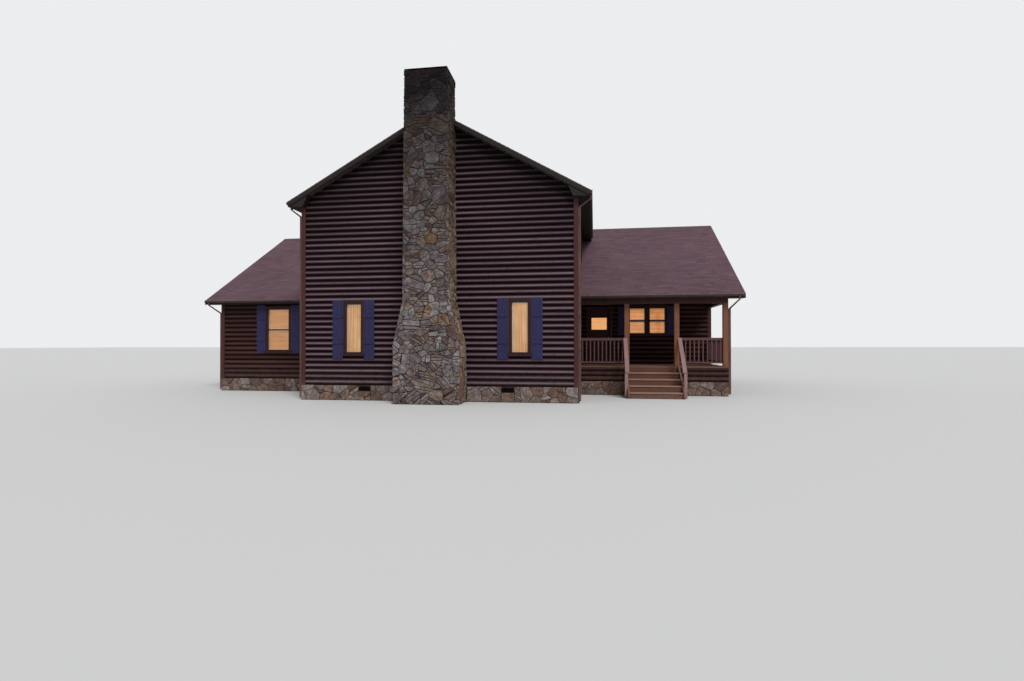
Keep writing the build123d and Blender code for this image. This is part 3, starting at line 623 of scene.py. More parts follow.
# Tones up to 0.8 are for the front; the warmer ones above are for the sides and paint the warm light on
# them
chimneyColours = [
    (0.0, (0.17, 0.138, 0.143)),
    (0.15, (0.115, 0.088, 0.09)),
    (0.25, (0.205, 0.18, 0.182)),
    (0.38, (0.175, 0.13, 0.11)),
    (0.48, (0.145, 0.12, 0.118)),
    (0.58, (0.23, 0.207, 0.208)),
    (0.65, (0.105, 0.07, 0.062)),
    (0.7, (0.2, 0.152, 0.128)),
    (0.785, (0.19, 0.112, 0.066)),
    (0.8, (0.27, 0.185, 0.14)),
    (0.86, (0.22, 0.142, 0.107)),
    (0.91, (0.3, 0.215, 0.168)),
    (0.96, (0.18, 0.11, 0.083)),
]
chimneyStoneLook = {
    "colours": chimneyColours,
    "light": 1.12,
    "stain": (0.12, 0.074, 0.056),
    "soil": (0.16, 0.11, 0.075),
    "split": 0.62,
    "soot": 0.9,
    "sootColour": (0.013, 0.009, 0.013),
    "upperTone": 0.36,
}
baseColours = [
    (0.0, (0.19, 0.138, 0.12)),
    (0.14, (0.125, 0.08, 0.066)),
    (0.27, (0.235, 0.185, 0.168)),
    (0.42, (0.2, 0.132, 0.103)),
    (0.55, (0.27, 0.228, 0.212)),
    (0.66, (0.16, 0.092, 0.07)),
    (0.74, (0.2, 0.162, 0.152)),
]
baseStoneLook = {
    **chimneyStoneLook,
    "colours": baseColours,
    "light": 0.97,
    "stain": (0.16, 0.09, 0.062),
    "split": 0.9,
    "soot": 0,
    "upperTone": 1,
}
mortar = mortarMaterial()


shingleTones = [
    (0.0, (0.1, 0.06, 0.075)),
    (0.5, (0.124, 0.074, 0.091)),
    (1.0, (0.15, 0.089, 0.107)),
]
mossColour = (0.075, 0.068, 0.058)


# Shingles: a tone per tab, mineral grains, soft patches and a little moss
def shingleMaterial():
    material, place = startMaterial("asphalt shingles")
    tone = addNode(place.tree, "Attribute", "Fac", attribute_name="tone")
    grains = noise(place, 260, 3, 0.7)
    patches = spread(noise(place, 0.7, 4, 0.55), 0.3, 0.7, 0.92, 1.08)
    value = spread(grains, 0.3, 0.7, 0.72, 1.3) * patches
    moss = spread(noise(place, 2.3, 5, 0.65), 0.6, 0.8, 0, 0.2)
    colour = mixColour(moss, vectorMath("SCALE", ramp(tone, shingleTones), value), mossColour)
    return finishSurface(material, colour, 0.92, grains, (0.7, 0.004))


def glassMaterial():
    material, place = startMaterial("window glass")
    smears = noise(place, 3.2, 4, 0.6)
    roughness = spread(smears, 0.4, 0.7, 0.02, 0.09)
    others = {"gloss": 0.5, "Transmission_Weight": 1, "IOR": 1.45}
    return finishSurface(material, (0.93, 0.95, 0.94), roughness, smears, (0.04, 0.002), **others)


# Blinds painted with the glow of the room's lamp behind them, given off as emission; the pattern is drawn
# out the way that their slats run
def blindMaterial(name, look):
    material, place = startMaterial(name)
    bands = noise(stretched(place, look["drawn"]), 2, 4, 0.6)
    glow = noise(place, 1.1, 2, 0.5)
    colour = ramp(bands * 0.65 + glow * 0.35, [(0.4, look["dark"]), (0.62, look["light"])])
    roughness = spread(glow, 0.3, 0.7, 0.85, 0.7)
    others = {"Emission_Color": colour, "Emission_Strength": look["strength"]}
    return finishSurface(material, colour, roughness, bands, (0.2, 0.001), **others)


shadeLook = {
    "light": (0.5, 0.235, 0.085),
    "dark": (0.36, 0.15, 0.047),
    "drawn": (0.6, 0.6, 24),
    "strength": 0.8,
}
slatLook = {**shadeLook, "light": (0.4, 0.2, 0.085), "dark": (0.26, 0.12, 0.047)}
porchSlatLook = {**shadeLook, "light": (0.7, 0.34, 0.115), "dark": (0.5, 0.215, 0.065)}
# The porch slats glow more: painted light that outshines the porch roof's shade
porchSlatLook["strength"] = 1.35
vaneLook = {
    "light": (0.62, 0.37, 0.17),
    "dark": (0.36, 0.175, 0.07),
    "drawn": (26, 26, 0.35),
    "strength": 0.75,
}
windowGlass = glassMaterial()

# The right finish on every carried solid
carried = [
    (logsAlongX, "main_front_wall main_rear_wall"),
    (logsAlongY, "main_side_walls main_upper_walls"),
    (wingLogsAlongX, "left_wing_front_wall wing_rear_walls"),
    (wingLogsAlongX, "porch_wall porch_wall_header porch_skirt"),
    (wingLogsAlongY, "left_wing_end_wall right_wing_end_wall right_gable_wall"),
    (trimUp, "corner_boards door_frame front_door"),
    (frameUp, "window_frames"),
    (woodMaterial("dark eaves along the front", fasciaLook, "x"), "rake_boards wing_eaves"),
    (woodMaterial("dark eaves along the sides", fasciaLook, "y"), "main_eaves"),
    (woodMaterial("red brown trim, level along the front", trimLook, "x"), "porch_beams"),
    (woodMaterial("porch posts", postLook, "z"), "porch_posts"),
    (woodMaterial("rail wood, upright", railLook, "z"), "porch_rails"),
    (deckWood, "porch_deck"),
    (treadWood, "step_treads"),
    # Risers darkened as painted shade
    (woodMaterial("risers", shadedRiserLook, "x"), "step_risers"),
    (woodMaterial("stringers", porchLook, "y"), "step_stringers"),
    (woodMaterial("handrail boards", handrailLook, "y"), "step_handrails"),
    (innerWood, "floors porch_ceiling"),
    (woodMaterial("blue violet shutter paint", shutterLook, "z"), "shutters"),
    (mortar, "foundation_side_walls foundation_cross_walls chimney"),
    (ventMetal, "foundation_vents chimney_cap"),
    (metalMaterial("aged brass", brassLook), "hinge_pins hinge_leaves door_knobs"),
    (metalMaterial("gutter paint", gutterLook), "gutters"),
    (spoutPaint, "downspouts"),
    (flashingMetal, "main_roof_left main_roof_right wing_roof_front wing_roof_rear"),
    (windowGlass, "window_glass door_glass"),
    (blindMaterial("lamp lit blinds", shadeLook), "window_blinds"),
]
for material, names in carried:
    for solid in (nodes[name] for name in names.split()):
        for slot in solid.material_slots:
            slot.material = material
        if not solid.material_slots:
            solid.data.materials.append(material)
print("finishes on the carried solids")


# Makes the given parts the only ones selected, the first of them active
def pick(*parts):
    if bpy.context.object and bpy.context.object.mode != "OBJECT":
        bpy.ops.object.mode_set(mode="OBJECT")
    bpy.ops.object.select_all(action="DESELECT")
    for part in parts:
        part.select_set(True)
    if parts:
        bpy.context.view_layer.objects.active = parts[0]


# Edit mode with all faces selected, or those whose normal passes the test
def editFaces(part, test=None):
    pick(part)
    bpy.ops.object.mode_set(mode="EDIT")
    bpy.ops.mesh.select_mode(type="FACE")
    bpy.ops.mesh.select_all(action="DESELECT" if test else "SELECT")
    if test:
        editMesh = bmesh.from_edit_mesh(part.data)
        for face in editMesh.faces:
            face.select = test(face.normal)
        bmesh.update_edit_mesh(part.data)


def leaveEdit():
    bpy.ops.object.mode_set(mode="OBJECT")


def addBlock(low, high, bevel=0.0):
    pick()
    centre = [(a + b) / 2 for a, b in zip(low, high)]
    size = [b - a for a, b in zip(low, high)]
    bpy.ops.mesh.primitive_cube_add(size=1, location=centre, scale=size)
    block = bpy.context.object
    bpy.ops.object.transform_apply(location=True, rotation=True, scale=True)
    if bevel:
        editFaces(block)
        bpy.ops.mesh.bevel(offset=bevel, segments=1, affect="EDGES")
        leaveEdit()
    return block


def applyModifier(part, kind, **settings):
    pick(part)
    modifier = part.modifiers.new(kind.lower(), kind)
    for label, value in settings.items():
        setattr(modifier, label, value)
    bpy.ops.object.modifier_apply(modifier=modifier.name)
    return part


def repeated(part, step, count):
    settings = {"count": count, "constant_offset_displace": step}
    settings.update({"use_relative_offset": False, "use_constant_offset": True})
    return applyModifier(part, "ARRAY", **settings)


def copied(part, matrix):
    twin = part.copy()
    twin.data = part.data.copy()
    twin.data.transform(matrix)
    if matrix.determinant() < 0:
        twin.data.flip_normals()
    bpy.context.collection.objects.link(twin)
    return twin


def moved(x=0.0, y=0.0, z=0.0):
    return Matrix.Translation((x, y, z))


def rotated(degrees, name):
    return Matrix.Rotation(math.radians(degrees), 4, name)


mirrorX = Matrix.Scale(-1, 4, (1, 0, 0))
mirrorWing = moved(y=2 * ridgeY) @ Matrix.Scale(-1, 4, (0, 1, 0))


# A part of one wing's front, with its like on the other wing and at both rears
def onAllWings(part):
    return [part] + [copied(part, matrix) for matrix in (mirrorX, mirrorWing, mirrorWing @ mirrorX)]


def joinParts(name, parts, material, body="cabin"):
    pick(*parts)
    if len(parts) > 1:
        bpy.ops.object.join()
    piece = bpy.context.object
    piece.name = piece.data.name = name
    piece.data.materials.clear()
    piece.data.materials.append(material)
    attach(piece, body)
    return piece


def facesToPiece(name, points, faces, tones, material):
    mesh = bpy.data.meshes.new(name)
    mesh.from_pydata(points, [], faces)
    if tones:
        attribute = mesh.attributes.new("tone", "FLOAT", "FACE")
        attribute.data.foreach_set("value", tones)
    mesh.update()
    piece = bpy.data.objects.new(name, mesh)
    bpy.context.collection.objects.link(piece)
    mesh.materials.append(material)
    return piece


# Fieldstones: stones of very different size grow round scattered middles until they meet
stoneLook = {
    "smallest": 0.08,
    "largest": 0.33,
    "skew": 1.6,  # above 1 for more small stones than large ones
    "tries": 420,  # middles tried per square metre
    "crowding": 0.86,
    "flatness": 1.15,
    "joint": (0.002, 0.017),
    "depth": 0.03,
    "sink": (0.001, 0.028),
    "tilt": 0.09,
    "tiltMost": 0.008,
    "rim": 0.009,
    "rimRise": 0.006,
    "rough": 0.004,
    "stacked": 0.8,
    "stackFrom": 0.02,
    "slab": (0.06, 0.135),
    "slabLeast": 0.035,
    "slabLength": 0.5,
    "cornerCut": (0.06, 0.2),
    "cutMost": 0.022,
    "areaLeast": 0.001,
    "fullnessLeast": 0.26,
    "frontTones": 0.8,
}
# The base has larger and calmer stones than the chimney
baseLook = {
    **stoneLook,
    "smallest": 0.12,
    "largest": 0.25,
    "flatness": 1.05,
    "joint": (0.003, 0.012),
    "stacked": 0.12,
}


def splitPolygon(polygon, point, normal):
    near, away = [], []
    for a, b in edgesOf(polygon):
        sideA = (a - point).dot(normal)
        sideB = (b - point).dot(normal)
        (near if sideA <= 0 else away).append(a)
        if sideA * sideB < 0:
            crossing = a.lerp(b, sideA / (sideA - sideB))
            near.append(crossing)
            away.append(crossing)
    return near, away


def edgesOf(polygon):
    return list(zip(polygon, polygon[1:] + polygon[:1]))


def signedArea(polygon):
    return sum(a.cross(b) for a, b in edgesOf(polygon)) / 2


def isInside(point, polygon):
    return all((b - a).cross(point - a) >= 0 for a, b in edgesOf(polygon))


def middleOf(polygon):
    return sum(polygon, Vector((0, 0))) / len(polygon)


def isNear(a, b, reach):
    return abs(a.x - b.x) < reach and abs(a.y - b.y) < reach and (a - b).length < reach


def scatterMiddles(outline, look):
    xs, ys = [p.x for p in outline], [p.y for p in outline]
    small, large, crowding = look["smallest"], look["largest"], look["crowding"]
    middles = []
    for _ in range(int(abs(signedArea(outline)) * look["tries"]) + 30):
        radius = small + (large - small) * random.random() ** look["skew"]
        point = Vector((random.uniform(min(xs), max(xs)), random.uniform(min(ys), max(ys))))
        if not isInside(point, outline):
            continue
        if not any(isNear(point, other, (radius + room) * crowding) for other, room in middles):
            middles.append((point, radius))
    return middles


# Stones of one outline, given counterclockwise; some big ones are stacks of thin slabs
def growStones(outline, look):
    flat = look["flatness"]
    tall = [Vector((p[0], p[1] * flat)) for p in outline]
    middles = scatterMiddles(tall, look)
    stones = []
    for i, (point, radius) in enumerate(middles):
        stone = tall
        for j, (other, room) in enumerate(middles):
            apart = other - point
            distance = apart.length
            if i == j or distance > 1.0:
                continue
            share = 0.5 + (radius * radius - room * room) / (2 * distance * distance)
            stone = splitPolygon(stone, point + apart * share, apart)[0]
            if len(stone) < 3:
                break
        if len(stone) < 3:
            continue
        stone = [Vector((p.x, p.y / flat)) for p in stone]
        if signedArea(stone) > look["stackFrom"] and random.random() < look["stacked"]:
            stones.extend(stackSlabs(stone, look))
        else:
            stones.append(stone)
    return stones


# A mason's patch of thin slabs that all lean one way, the long ones broken across
def stackSlabs(stone, look):
    lean = random.choice((0, 0, 0, 0.5, -0.5, 0.75, -0.75, 1.5)) + random.gauss(0, 0.13)
    rest, slabs = stone, []
    normal = Vector((-math.sin(lean), math.cos(lean)))
    along = Vector((normal.y, -normal.x))
    heights = [p.dot(normal) for p in stone]
    level = min(heights) + random.uniform(*look["slab"])
    while level < max(heights) - look["slabLeast"] and len(rest) > 2:
        slab, rest = splitPolygon(rest, normal * level, normal + along * random.gauss(0, 0.06))
        slabs.append(slab)
        level += random.uniform(*look["slab"])
    whole = []
    for slab in slabs + [rest]:
        if len(slab) < 3:
            continue
        reaches = [p.dot(along) for p in slab]
        length = max(reaches) - min(reaches)
        if length > look["slabLength"] * random.uniform(0.7, 1.5):
            share = min(reaches) + length * random.uniform(0.3, 0.7)
            halves = splitPolygon(slab, along * share, along + normal * random.gauss(0, 0.3))
            whole.extend(half for half in halves if len(half) > 2)
        else:
            whole.append(slab)
    return whole


def withoutClosePoints(polygon, least):
    return [p for i, p in enumerate(polygon) if (p - polygon[i - 1]).length > least]


def shrunk(polygon, distance):
    result = polygon
    for a, b in edgesOf(polygon):
        along = b - a
        if along.length < 1e-6:
            continue
        outward = Vector((along.y, -along.x)).normalized()
        result = splitPolygon(result, a - outward * distance, outward)[0]
        if len(result) < 3:
            return []
    tidy = withoutClosePoints(result, 0.012)
    return tidy if len(tidy) > 2 else []


def isSharp(before, corner, after):
    return (before - corner).normalized().dot((after - corner).normalized()) > 0.6


# 1 for a round stone, near 0 for a sliver
def fullness(polygon):
    around = sum((b - a).length for a, b in edgesOf(polygon))
    return 4 * math.pi * signedArea(polygon) / (around * around)


def withCutCorners(polygon, share, most):
    cut = []
    for i, p in enumerate(polygon):
        for neighbour in (polygon[i - 1], polygon[(i + 1) % len(polygon)]):
            reach = min(share * (neighbour - p).length, most)
            cut.append(p + (neighbour - p).normalized() * reach)
    cut = withoutClosePoints(cut, 0.006)
    blunt = [p for i, p in enumerate(cut) if not isSharp(cut[i - 1], p, cut[(i + 1) % len(cut)])]
    return blunt if len(blunt) > 2 else cut


# A field has an outline (u, v), the corner it starts from and its axes u, v and out of the wall
def stoneField(store, look, outline, corner, axisU, axisV, trim=None, tonesFrom=0.0):
    points, faces, tones = store
    corner, axisU, axisV = Vector(corner), Vector(axisU), Vector(axisV)
    outward = axisU.cross(axisV)
    toneRange = 1.0 - look["frontTones"] if tonesFrom else look["frontTones"]
    for stone in growStones(outline, look):
        if trim:
            stone = trim(stone)
        stone = shrunk(stone, random.uniform(*look["joint"]) / 2)
        if not stone or signedArea(stone) < look["areaLeast"]:
            continue
        if fullness(stone) < look["fullnessLeast"]:
            continue
        stone = withCutCorners(stone, random.uniform(*look["cornerCut"]), look["cutMost"])
        middle = middleOf(stone)
        sink = random.uniform(*look["sink"])
        tilt = Vector((random.uniform(-1, 1), random.uniform(-1, 1))) * look["tilt"]
        first = len(points)
        for p in stone:
            depth = min(max(tilt.dot(p - middle), -look["tiltMost"]), look["tiltMost"]) - sink
            points.append(corner + axisU * p.x + axisV * p.y + outward * depth)
        faces.append(list(range(first, len(points))))
        tones.append(tonesFrom + random.random() * toneRange)


# Raises the stones of a store out of the wall and keeps them within the limits given
def raiseStones(name, store, look, material, front, top):
    piece = facesToPiece(name, *store, material)
    editFaces(piece)
    rises = [(0.002, look["depth"]), (look["rim"], look["rimRise"]), (look["rim"] * 2, 0.002)]
    for thickness, depth in rises:
        settings = {"use_individual": True, "use_even_offset": False}
        bpy.ops.mesh.inset(thickness=thickness, depth=depth, **settings)
    bpy.ops.mesh.poke()
    bpy.ops.transform.vertex_random(offset=look["rough"], seed=5)
    bpy.ops.mesh.select_all(action="SELECT")
    bpy.ops.mesh.quads_convert_to_tris()
    leaveEdit()
    for vertex in piece.data.vertices:
        vertex.co.y = max(vertex.co.y, front)
        vertex.co.z = min(max(vertex.co.z, 0.0), top)
    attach(piece, "cabin")
    print(name, len(store[1]), len(piece.data.polygons))
    return piece


# Chimney: mortar core with the flue mouth, fieldstones on every side that shows
chimney = {
    "baseHalf": 0.93,
    "shaftHalf": 0.655,
    "topHalf": 0.61,
    "shoulderLow": 1.6,
    "shoulderHigh": 2.81,
    "top": 9.06,
    "front": -6.7725,
    "rear": -5.8725,
    "skin": 0.036,
    "flueHalf": 0.15,
    "flueDepth": 0.5,
    "rearFrom": 7.84,  # where the chimney's back comes out of the roof
    "rearInset": 0.01,
    "lap": 0.024,
}
skin = chimney["skin"]
half, shaft, top = chimney["baseHalf"], chimney["shaftHalf"], chimney["topHalf"]
low, high, peak = chimney["shoulderLow"], chimney["shoulderHigh"], chimney["top"]
coreFront, coreRear = chimney["front"] + skin, chimney["rear"]
profile = [(half - skin, 0.0), (half - skin, low), (shaft - skin, high), (top - skin, peak)]
profile += [(-x, z) for x, z in reversed(profile)]
corePoints = [(x, coreFront, z) for x, z in profile]
chimneyCore = facesToPiece("chimney_core", corePoints, [list(range(len(profile)))], None, mortar)
editFaces(chimneyCore)
bpy.ops.mesh.extrude_region_move(TRANSFORM_OT_translate={"value": (0, coreRear - coreFront, 0)})
bpy.ops.mesh.select_all(action="SELECT")
bpy.ops.mesh.normals_make_consistent(inside=False)
leaveEdit()
flueY = (chimney["front"] + chimney["rear"]) / 2
flueHalf = chimney["flueHalf"]
flueCutter = addBlock(
    (-flueHalf, flueY - flueHalf, peak - chimney["flueDepth"]),
    (flueHalf, flueY + flueHalf, peak + 0.2),
)
applyModifier(chimneyCore, "BOOLEAN", object=flueCutter, operation="DIFFERENCE", solver="EXACT")
bpy.data.objects.remove(flueCutter)
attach(chimneyCore, "cabin")
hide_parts("chimney")


# Stones of the front end at the shoulders below and at the tapering shaft above
def trimToShoulders(stone):
    below = middleOf(stone).y < high
    ends = ((half, low), (shaft, high)) if below else ((shaft, high), (top, peak))
    (xLow, zLow), (xHigh, zHigh) = ends
    for side in (-1, 1):
        outward = Vector((side * (zHigh - zLow), xLow - xHigh))
        stone = splitPolygon(stone, Vector((side * xLow, zLow)), outward)[0]
        if len(stone) < 3:
            return []
    return stone


chimneyStore = ([], [], [])
outline = [(-half, 0), (half, 0), (half, low), (top, peak), (-top, peak), (-half, low)]
corner = (0, coreFront, 0)
stoneField(chimneyStore, stoneLook, outline, corner, (1, 0, 0), (0, 0, 1), trimToShoulders)
depth, lap = chimney["rear"] - chimney["front"], chimney["lap"]
runs = [((half, 0), (half, low)), ((half, low), (shaft, high)), ((shaft, high), (top, peak))]
for side in (-1, 1):
    for (xLow, zLow), (xHigh, zHigh) in runs:
        slope = Vector((side * (xHigh - xLow), 0, zHigh - zLow))
        axisU, axisV = Vector((0, side, 0)), slope.normalized()
        startY = chimney["front"] if side > 0 else chimney["rear"]
        corner = Vector((side * xLow, startY, zLow)) - axisU.cross(axisV) * skin
        # The stones of the front cover the ends of these
        startU, endU = (lap, depth) if side > 0 else (0, depth - lap)
        outline = [(startU, 0), (endU, 0), (endU, slope.length), (startU, slope.length)]
        # The sides take the warmer tones, painted warm light
        litSideTones = stoneLook["frontTones"]
        stoneField(chimneyStore, stoneLook, outline, corner, axisU, axisV, tonesFrom=litSideTones)
rearHalf, rearHeight = top - chimney["rearInset"], peak - chimney["rearFrom"]
outline = [(-rearHalf, 0), (rearHalf, 0), (rearHalf, rearHeight), (-rearHalf, rearHeight)]
corner = (0, coreRear - chimney["rearInset"], chimney["rearFrom"])
stoneField(chimneyStore, stoneLook, outline, corner, (-1, 0, 0), (0, 0, 1))
fieldstone = stoneMaterial("chimney fieldstone", chimneyStoneLook)
front, highest = chimney["front"] + 0.0005, peak - 0.001
raiseStones("chimney_stones", chimneyStore, stoneLook, fieldstone, front, highest)

# Clay liner in the flue mouth
linerLook = {"outer": 0.149, "wall": 0.022, "low": 8.62, "top": 9.086, "floor": 0.02}
outer = linerLook["outer"]
linerLow, linerHigh = (-outer, flueY - outer), (outer, flueY + outer)
liner = addBlock((*linerLow, linerLook["low"]), (*linerHigh, linerLook["top"]))
editFaces(liner, lambda normal: normal.z > 0.5)
bpy.ops.mesh.inset(thickness=linerLook["wall"])
flueDrop = linerLook["low"] + linerLook["floor"] - linerLook["top"]
bpy.ops.mesh.extrude_region_move(TRANSFORM_OT_translate={"value": (0, 0, flueDrop)})
leaveEdit()
joinParts("flue_liner", [liner], mortar)
print("flue liner")

# Fieldstones on the base, clear of the vents and of the downspouts at the corners
base = {"top": 0.436, "ventX": 2.1, "ventHalf": 0.185, "ventLow": 0.27, "corner": 0.085}
baseStore = ([], [], [])
baseTop, cornerGap = base["top"], base["corner"]
baseRuns = []
for side in (-1, 1):
    innerX, outerX = (half, halfMain) if side > 0 else (-halfMain, -half)
    ventStart = side * base["ventX"] - base["ventHalf"]
    ventEnd = side * base["ventX"] + base["ventHalf"]
    baseRuns.append(((innerX, frontY), (1, 0), ventStart - innerX, baseTop))
    baseRuns.append(((ventEnd, frontY), (1, 0), outerX - ventEnd, baseTop))
    baseRuns.append(((ventStart, frontY), (1, 0), 2 * base["ventHalf"], base["ventLow"]))
sideLength, endLength = wingY - frontY - cornerGap, rearY - wingY - 2 * cornerGap
baseRuns += [
    ((-halfHouse, wingY), (1, 0), halfHouse - halfMain, baseTop),
    ((halfMain, wingY), (1, 0), halfHouse - halfMain, baseTop),
    ((halfHouse, rearY), (-1, 0), 2 * halfHouse, baseTop),
    ((halfMain, frontY + cornerGap), (0, 1), sideLength, baseTop),
    ((-halfMain, wingY), (0, -1), sideLength, baseTop),
    ((halfHouse, wingY + cornerGap), (0, 1), endLength, baseTop),
    ((-halfHouse, rearY - cornerGap), (0, -1), endLength, baseTop),
]
for (x, y), along, length, height in baseRuns:
    outline = [(0, 0.0), (length, 0.0), (length, height), (0, height)]
    stoneField(baseStore, baseLook, outline, (x, y, 0), (*along, 0), (0, 0, 1))
baseStone = stoneMaterial("base fieldstone", baseStoneLook)
raiseStones("base_stones", baseStore, baseLook, baseStone, -math.inf, house["logStart"] - 0.001)


# Shingles: rows of tabs with random widths, laid from the eaves up, each a thin wedge
shingleLook = {
    "exposure": 0.14,
    "underlap": 0.03,
    "lift": 0.0004,
    "thin": 0.0018,
    "butt": (0.0055, 0.0095),
    "width": (0.16, 0.42),
    "widthLeast": 0.04,
    "rowLeast": 0.05,
    "awayLeast": 0.04,
    "joint": 0.003,
    "eaveReach": 0.015,
    "rakeReach": 0.008,
    "wingReach": 0.019,
    "valleyGap": 0.012,
    "wallGap": 0.004,
    "edgeGap": 0.006,
    "chimneyHalf": 0.63,
    "chimneyGap": 0.03,
    "capHalf": 0.15,
    "capThick": (0.017, 0.01),
}
valleyGap = shingleLook["valleyGap"]
wingShingleEnd = wingEdge + shingleLook["wingReach"]
behindChimney = chimney["rear"] + shingleLook["chimneyGap"]
rakeOver = house["board"] + shingleLook["rakeReach"]


def addTab(store, corners, offsets, tone):
    points, faces, tones = store
    if sum(a[0] * b[1] - b[0] * a[1] for a, b in edgesOf(corners)) < 0:
        corners, offsets = corners[::-1], offsets[::-1]
    first = len(points)
    points.extend((x, y, z + shingleLook["lift"]) for x, y, z in corners)
    points.extend((x, y, z + offset) for (x, y, z), offset in zip(corners, offsets))
    sides = [(3, 2, 1, 0), (4, 5, 6, 7), (0, 1, 5, 4), (1, 2, 6, 5), (2, 3, 7, 6), (3, 0, 4, 7)]
    faces.extend([[first + i for i in side] for side in sides])
    tones.extend([tone] * len(sides))


def randomTone(middle, shift=0.0):
    return min(max(random.gauss(middle, 0.2) + shift, 0.0), 1.0)


# place(run, away) turns a distance along the row and one from the ridge into x and y
def layRow(store, place, top, lowAway, highAway, ends):
    (startLow, startHigh), (endLow, endHigh) = ends
    least, joint, thin = [shingleLook[label] for label in ("widthLeast", "joint", "thin")]
    shift = random.uniform(0.05, shingleLook["width"][0])
    rowTone = random.uniform(-0.07, 0.07)
    start, end = max(startLow, startHigh), min(endLow, endHigh)
    if end - start < shingleLook["rowLeast"]:
        return
    cuts = [start + shift]
    while cuts[-1] < end - shingleLook["width"][0]:
        cuts.append(cuts[-1] + random.uniform(*shingleLook["width"]))
    cuts = [c for c in cuts if start + least < c < end - least]
    lefts = [(startLow, startHigh)] + [(c + joint, c + joint) for c in cuts]
    rights = [(c, c) for c in cuts] + [(endLow, endHigh)]
    for (lowLeft, highLeft), (lowRight, highRight) in zip(lefts, rights):
        butt = random.uniform(*shingleLook["butt"])
        corners = [
            (*place(lowLeft, lowAway), top(lowAway)),
            (*place(lowRight, lowAway), top(lowAway)),
            (*place(highRight, highAway), top(highAway)),
            (*place(highLeft, highAway), top(highAway)),
        ]
        addTab(store, corners, [butt, butt, thin, thin], randomTone(0.5, rowTone))


def layCaps(store, place, top, start, end):
    position, half = start, shingleLook["capHalf"]
    butt, thin = shingleLook["capThick"]
    while position < end:
        last = min(position + shingleLook["exposure"] + shingleLook["underlap"], end)
        tone = randomTone(0.55)
        for side in (-1, 1):
            corners = [
                (*place(position, 0.0), top(0.0)),
                (*place(position, side * half), top(half)),
                (*place(last, side * half), top(half)),
                (*place(last, 0.0), top(0.0)),
            ]
            addTab(store, corners, [butt, butt, thin, thin], tone)
        position += shingleLook["exposure"]


def wingTop(away):
    return house["wingRidge"] - house["wingSlope"] * away


def mainTop(away):
    return house["mainRidge"] - house["mainSlope"] * away


# Where a wing's row starts: in the valley, at the main eave or at the wall below it
def wingStart(away):
    z = wingTop(away)
    if z > mainTop(mainEdge):
        return (house["mainRidge"] - z) / house["mainSlope"] + valleyGap
    if z > house["mainSoffit"] - 0.04:
        return mainEdge + shingleLook["edgeGap"]
    return halfMain + shingleLook["wallGap"]


# Distances from the ridge of the lower and the upper edge of every row, from the eaves up
def rowsUp(slope, away):
    stretch = math.sqrt(1 + slope ** 2)
    step, underlap = shingleLook["exposure"] / stretch, shingleLook["underlap"] / stretch
    while away > shingleLook["awayLeast"]:
        yield away, max(away - step - underlap, 0.0)
        away -= step


def layWing(store, side, rear):
    def place(run, distance):
        return side * run, ridgeY + rear * distance

    underEave, pastEave = halfMain + 0.15, mainEdge + 0.01
    eave = ridgeY - eaveY + house["board"] + shingleLook["eaveReach"]
    for away, upper in rowsUp(house["wingSlope"], eave):
        low, high = wingStart(away), wingStart(upper)
        if (low < underEave) != (high < underEave) or underEave < low < pastEave:
            low = high = max(low, high)
        layRow(store, place, wingTop, away, upper, ((low, high), (wingShingleEnd, wingShingleEnd)))


def layMain(store, side):
    def place(run, distance):
        return side * distance, run

    front, rear = roofFront - rakeOver, roofRear + rakeOver
    for away, upper in rowsUp(house["mainSlope"], mainEdge + shingleLook["eaveReach"]):
        start = front if upper > shingleLook["chimneyHalf"] else behindChimney
        if mainTop(away) < house["wingRidge"]:
            drops = [house["wingRidge"] - mainTop(distance) for distance in (away, upper)]
            hidden = [max(drop / house["wingSlope"], 0.0) + valleyGap for drop in drops]
            valleyStart, valleyEnd = [ridgeY - half for half in hidden], [ridgeY + half for half in hidden]
            layRow(store, place, mainTop, away, upper, ((start, start), valleyStart))
            layRow(store, place, mainTop, away, upper, (valleyEnd, (rear, rear)))
        else:
            layRow(store, place, mainTop, away, upper, ((start, start), (rear, rear)))


wingStore, mainStore = ([], [], []), ([], [], [])
for side in (-1, 1):
    for rear in (-1, 1):
        layWing(wingStore, side, rear)
    capPlace = lambda run, distance: (side * run, ridgeY + distance)
    layCaps(wingStore, capPlace, wingTop, wingStart(0.0), wingShingleEnd)
for side in (-1, 1):
    layMain(mainStore, side)
capPlace = lambda run, distance: (distance, run)
layCaps(mainStore, capPlace, mainTop, behindChimney, roofRear + rakeOver)
shingleSurface = shingleMaterial()
for name, store in (("wing_shingles", wingStore), ("main_shingles", mainStore)):
    piece = facesToPiece(name, *store, shingleSurface)
    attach(piece, "cabin")
    print(name, len(store[2]) // 6, "tabs")


# Sloping strips: flashing where the wing roofs meet the log walls, drip edges on the main rakes
def slopingStrip(low, high, rise, along):
    strip = addBlock(low, high)
    start = low[along]
    for vertex in strip.data.vertices:
        vertex.co.z += rise * (vertex.co[along] - start)
    return strip


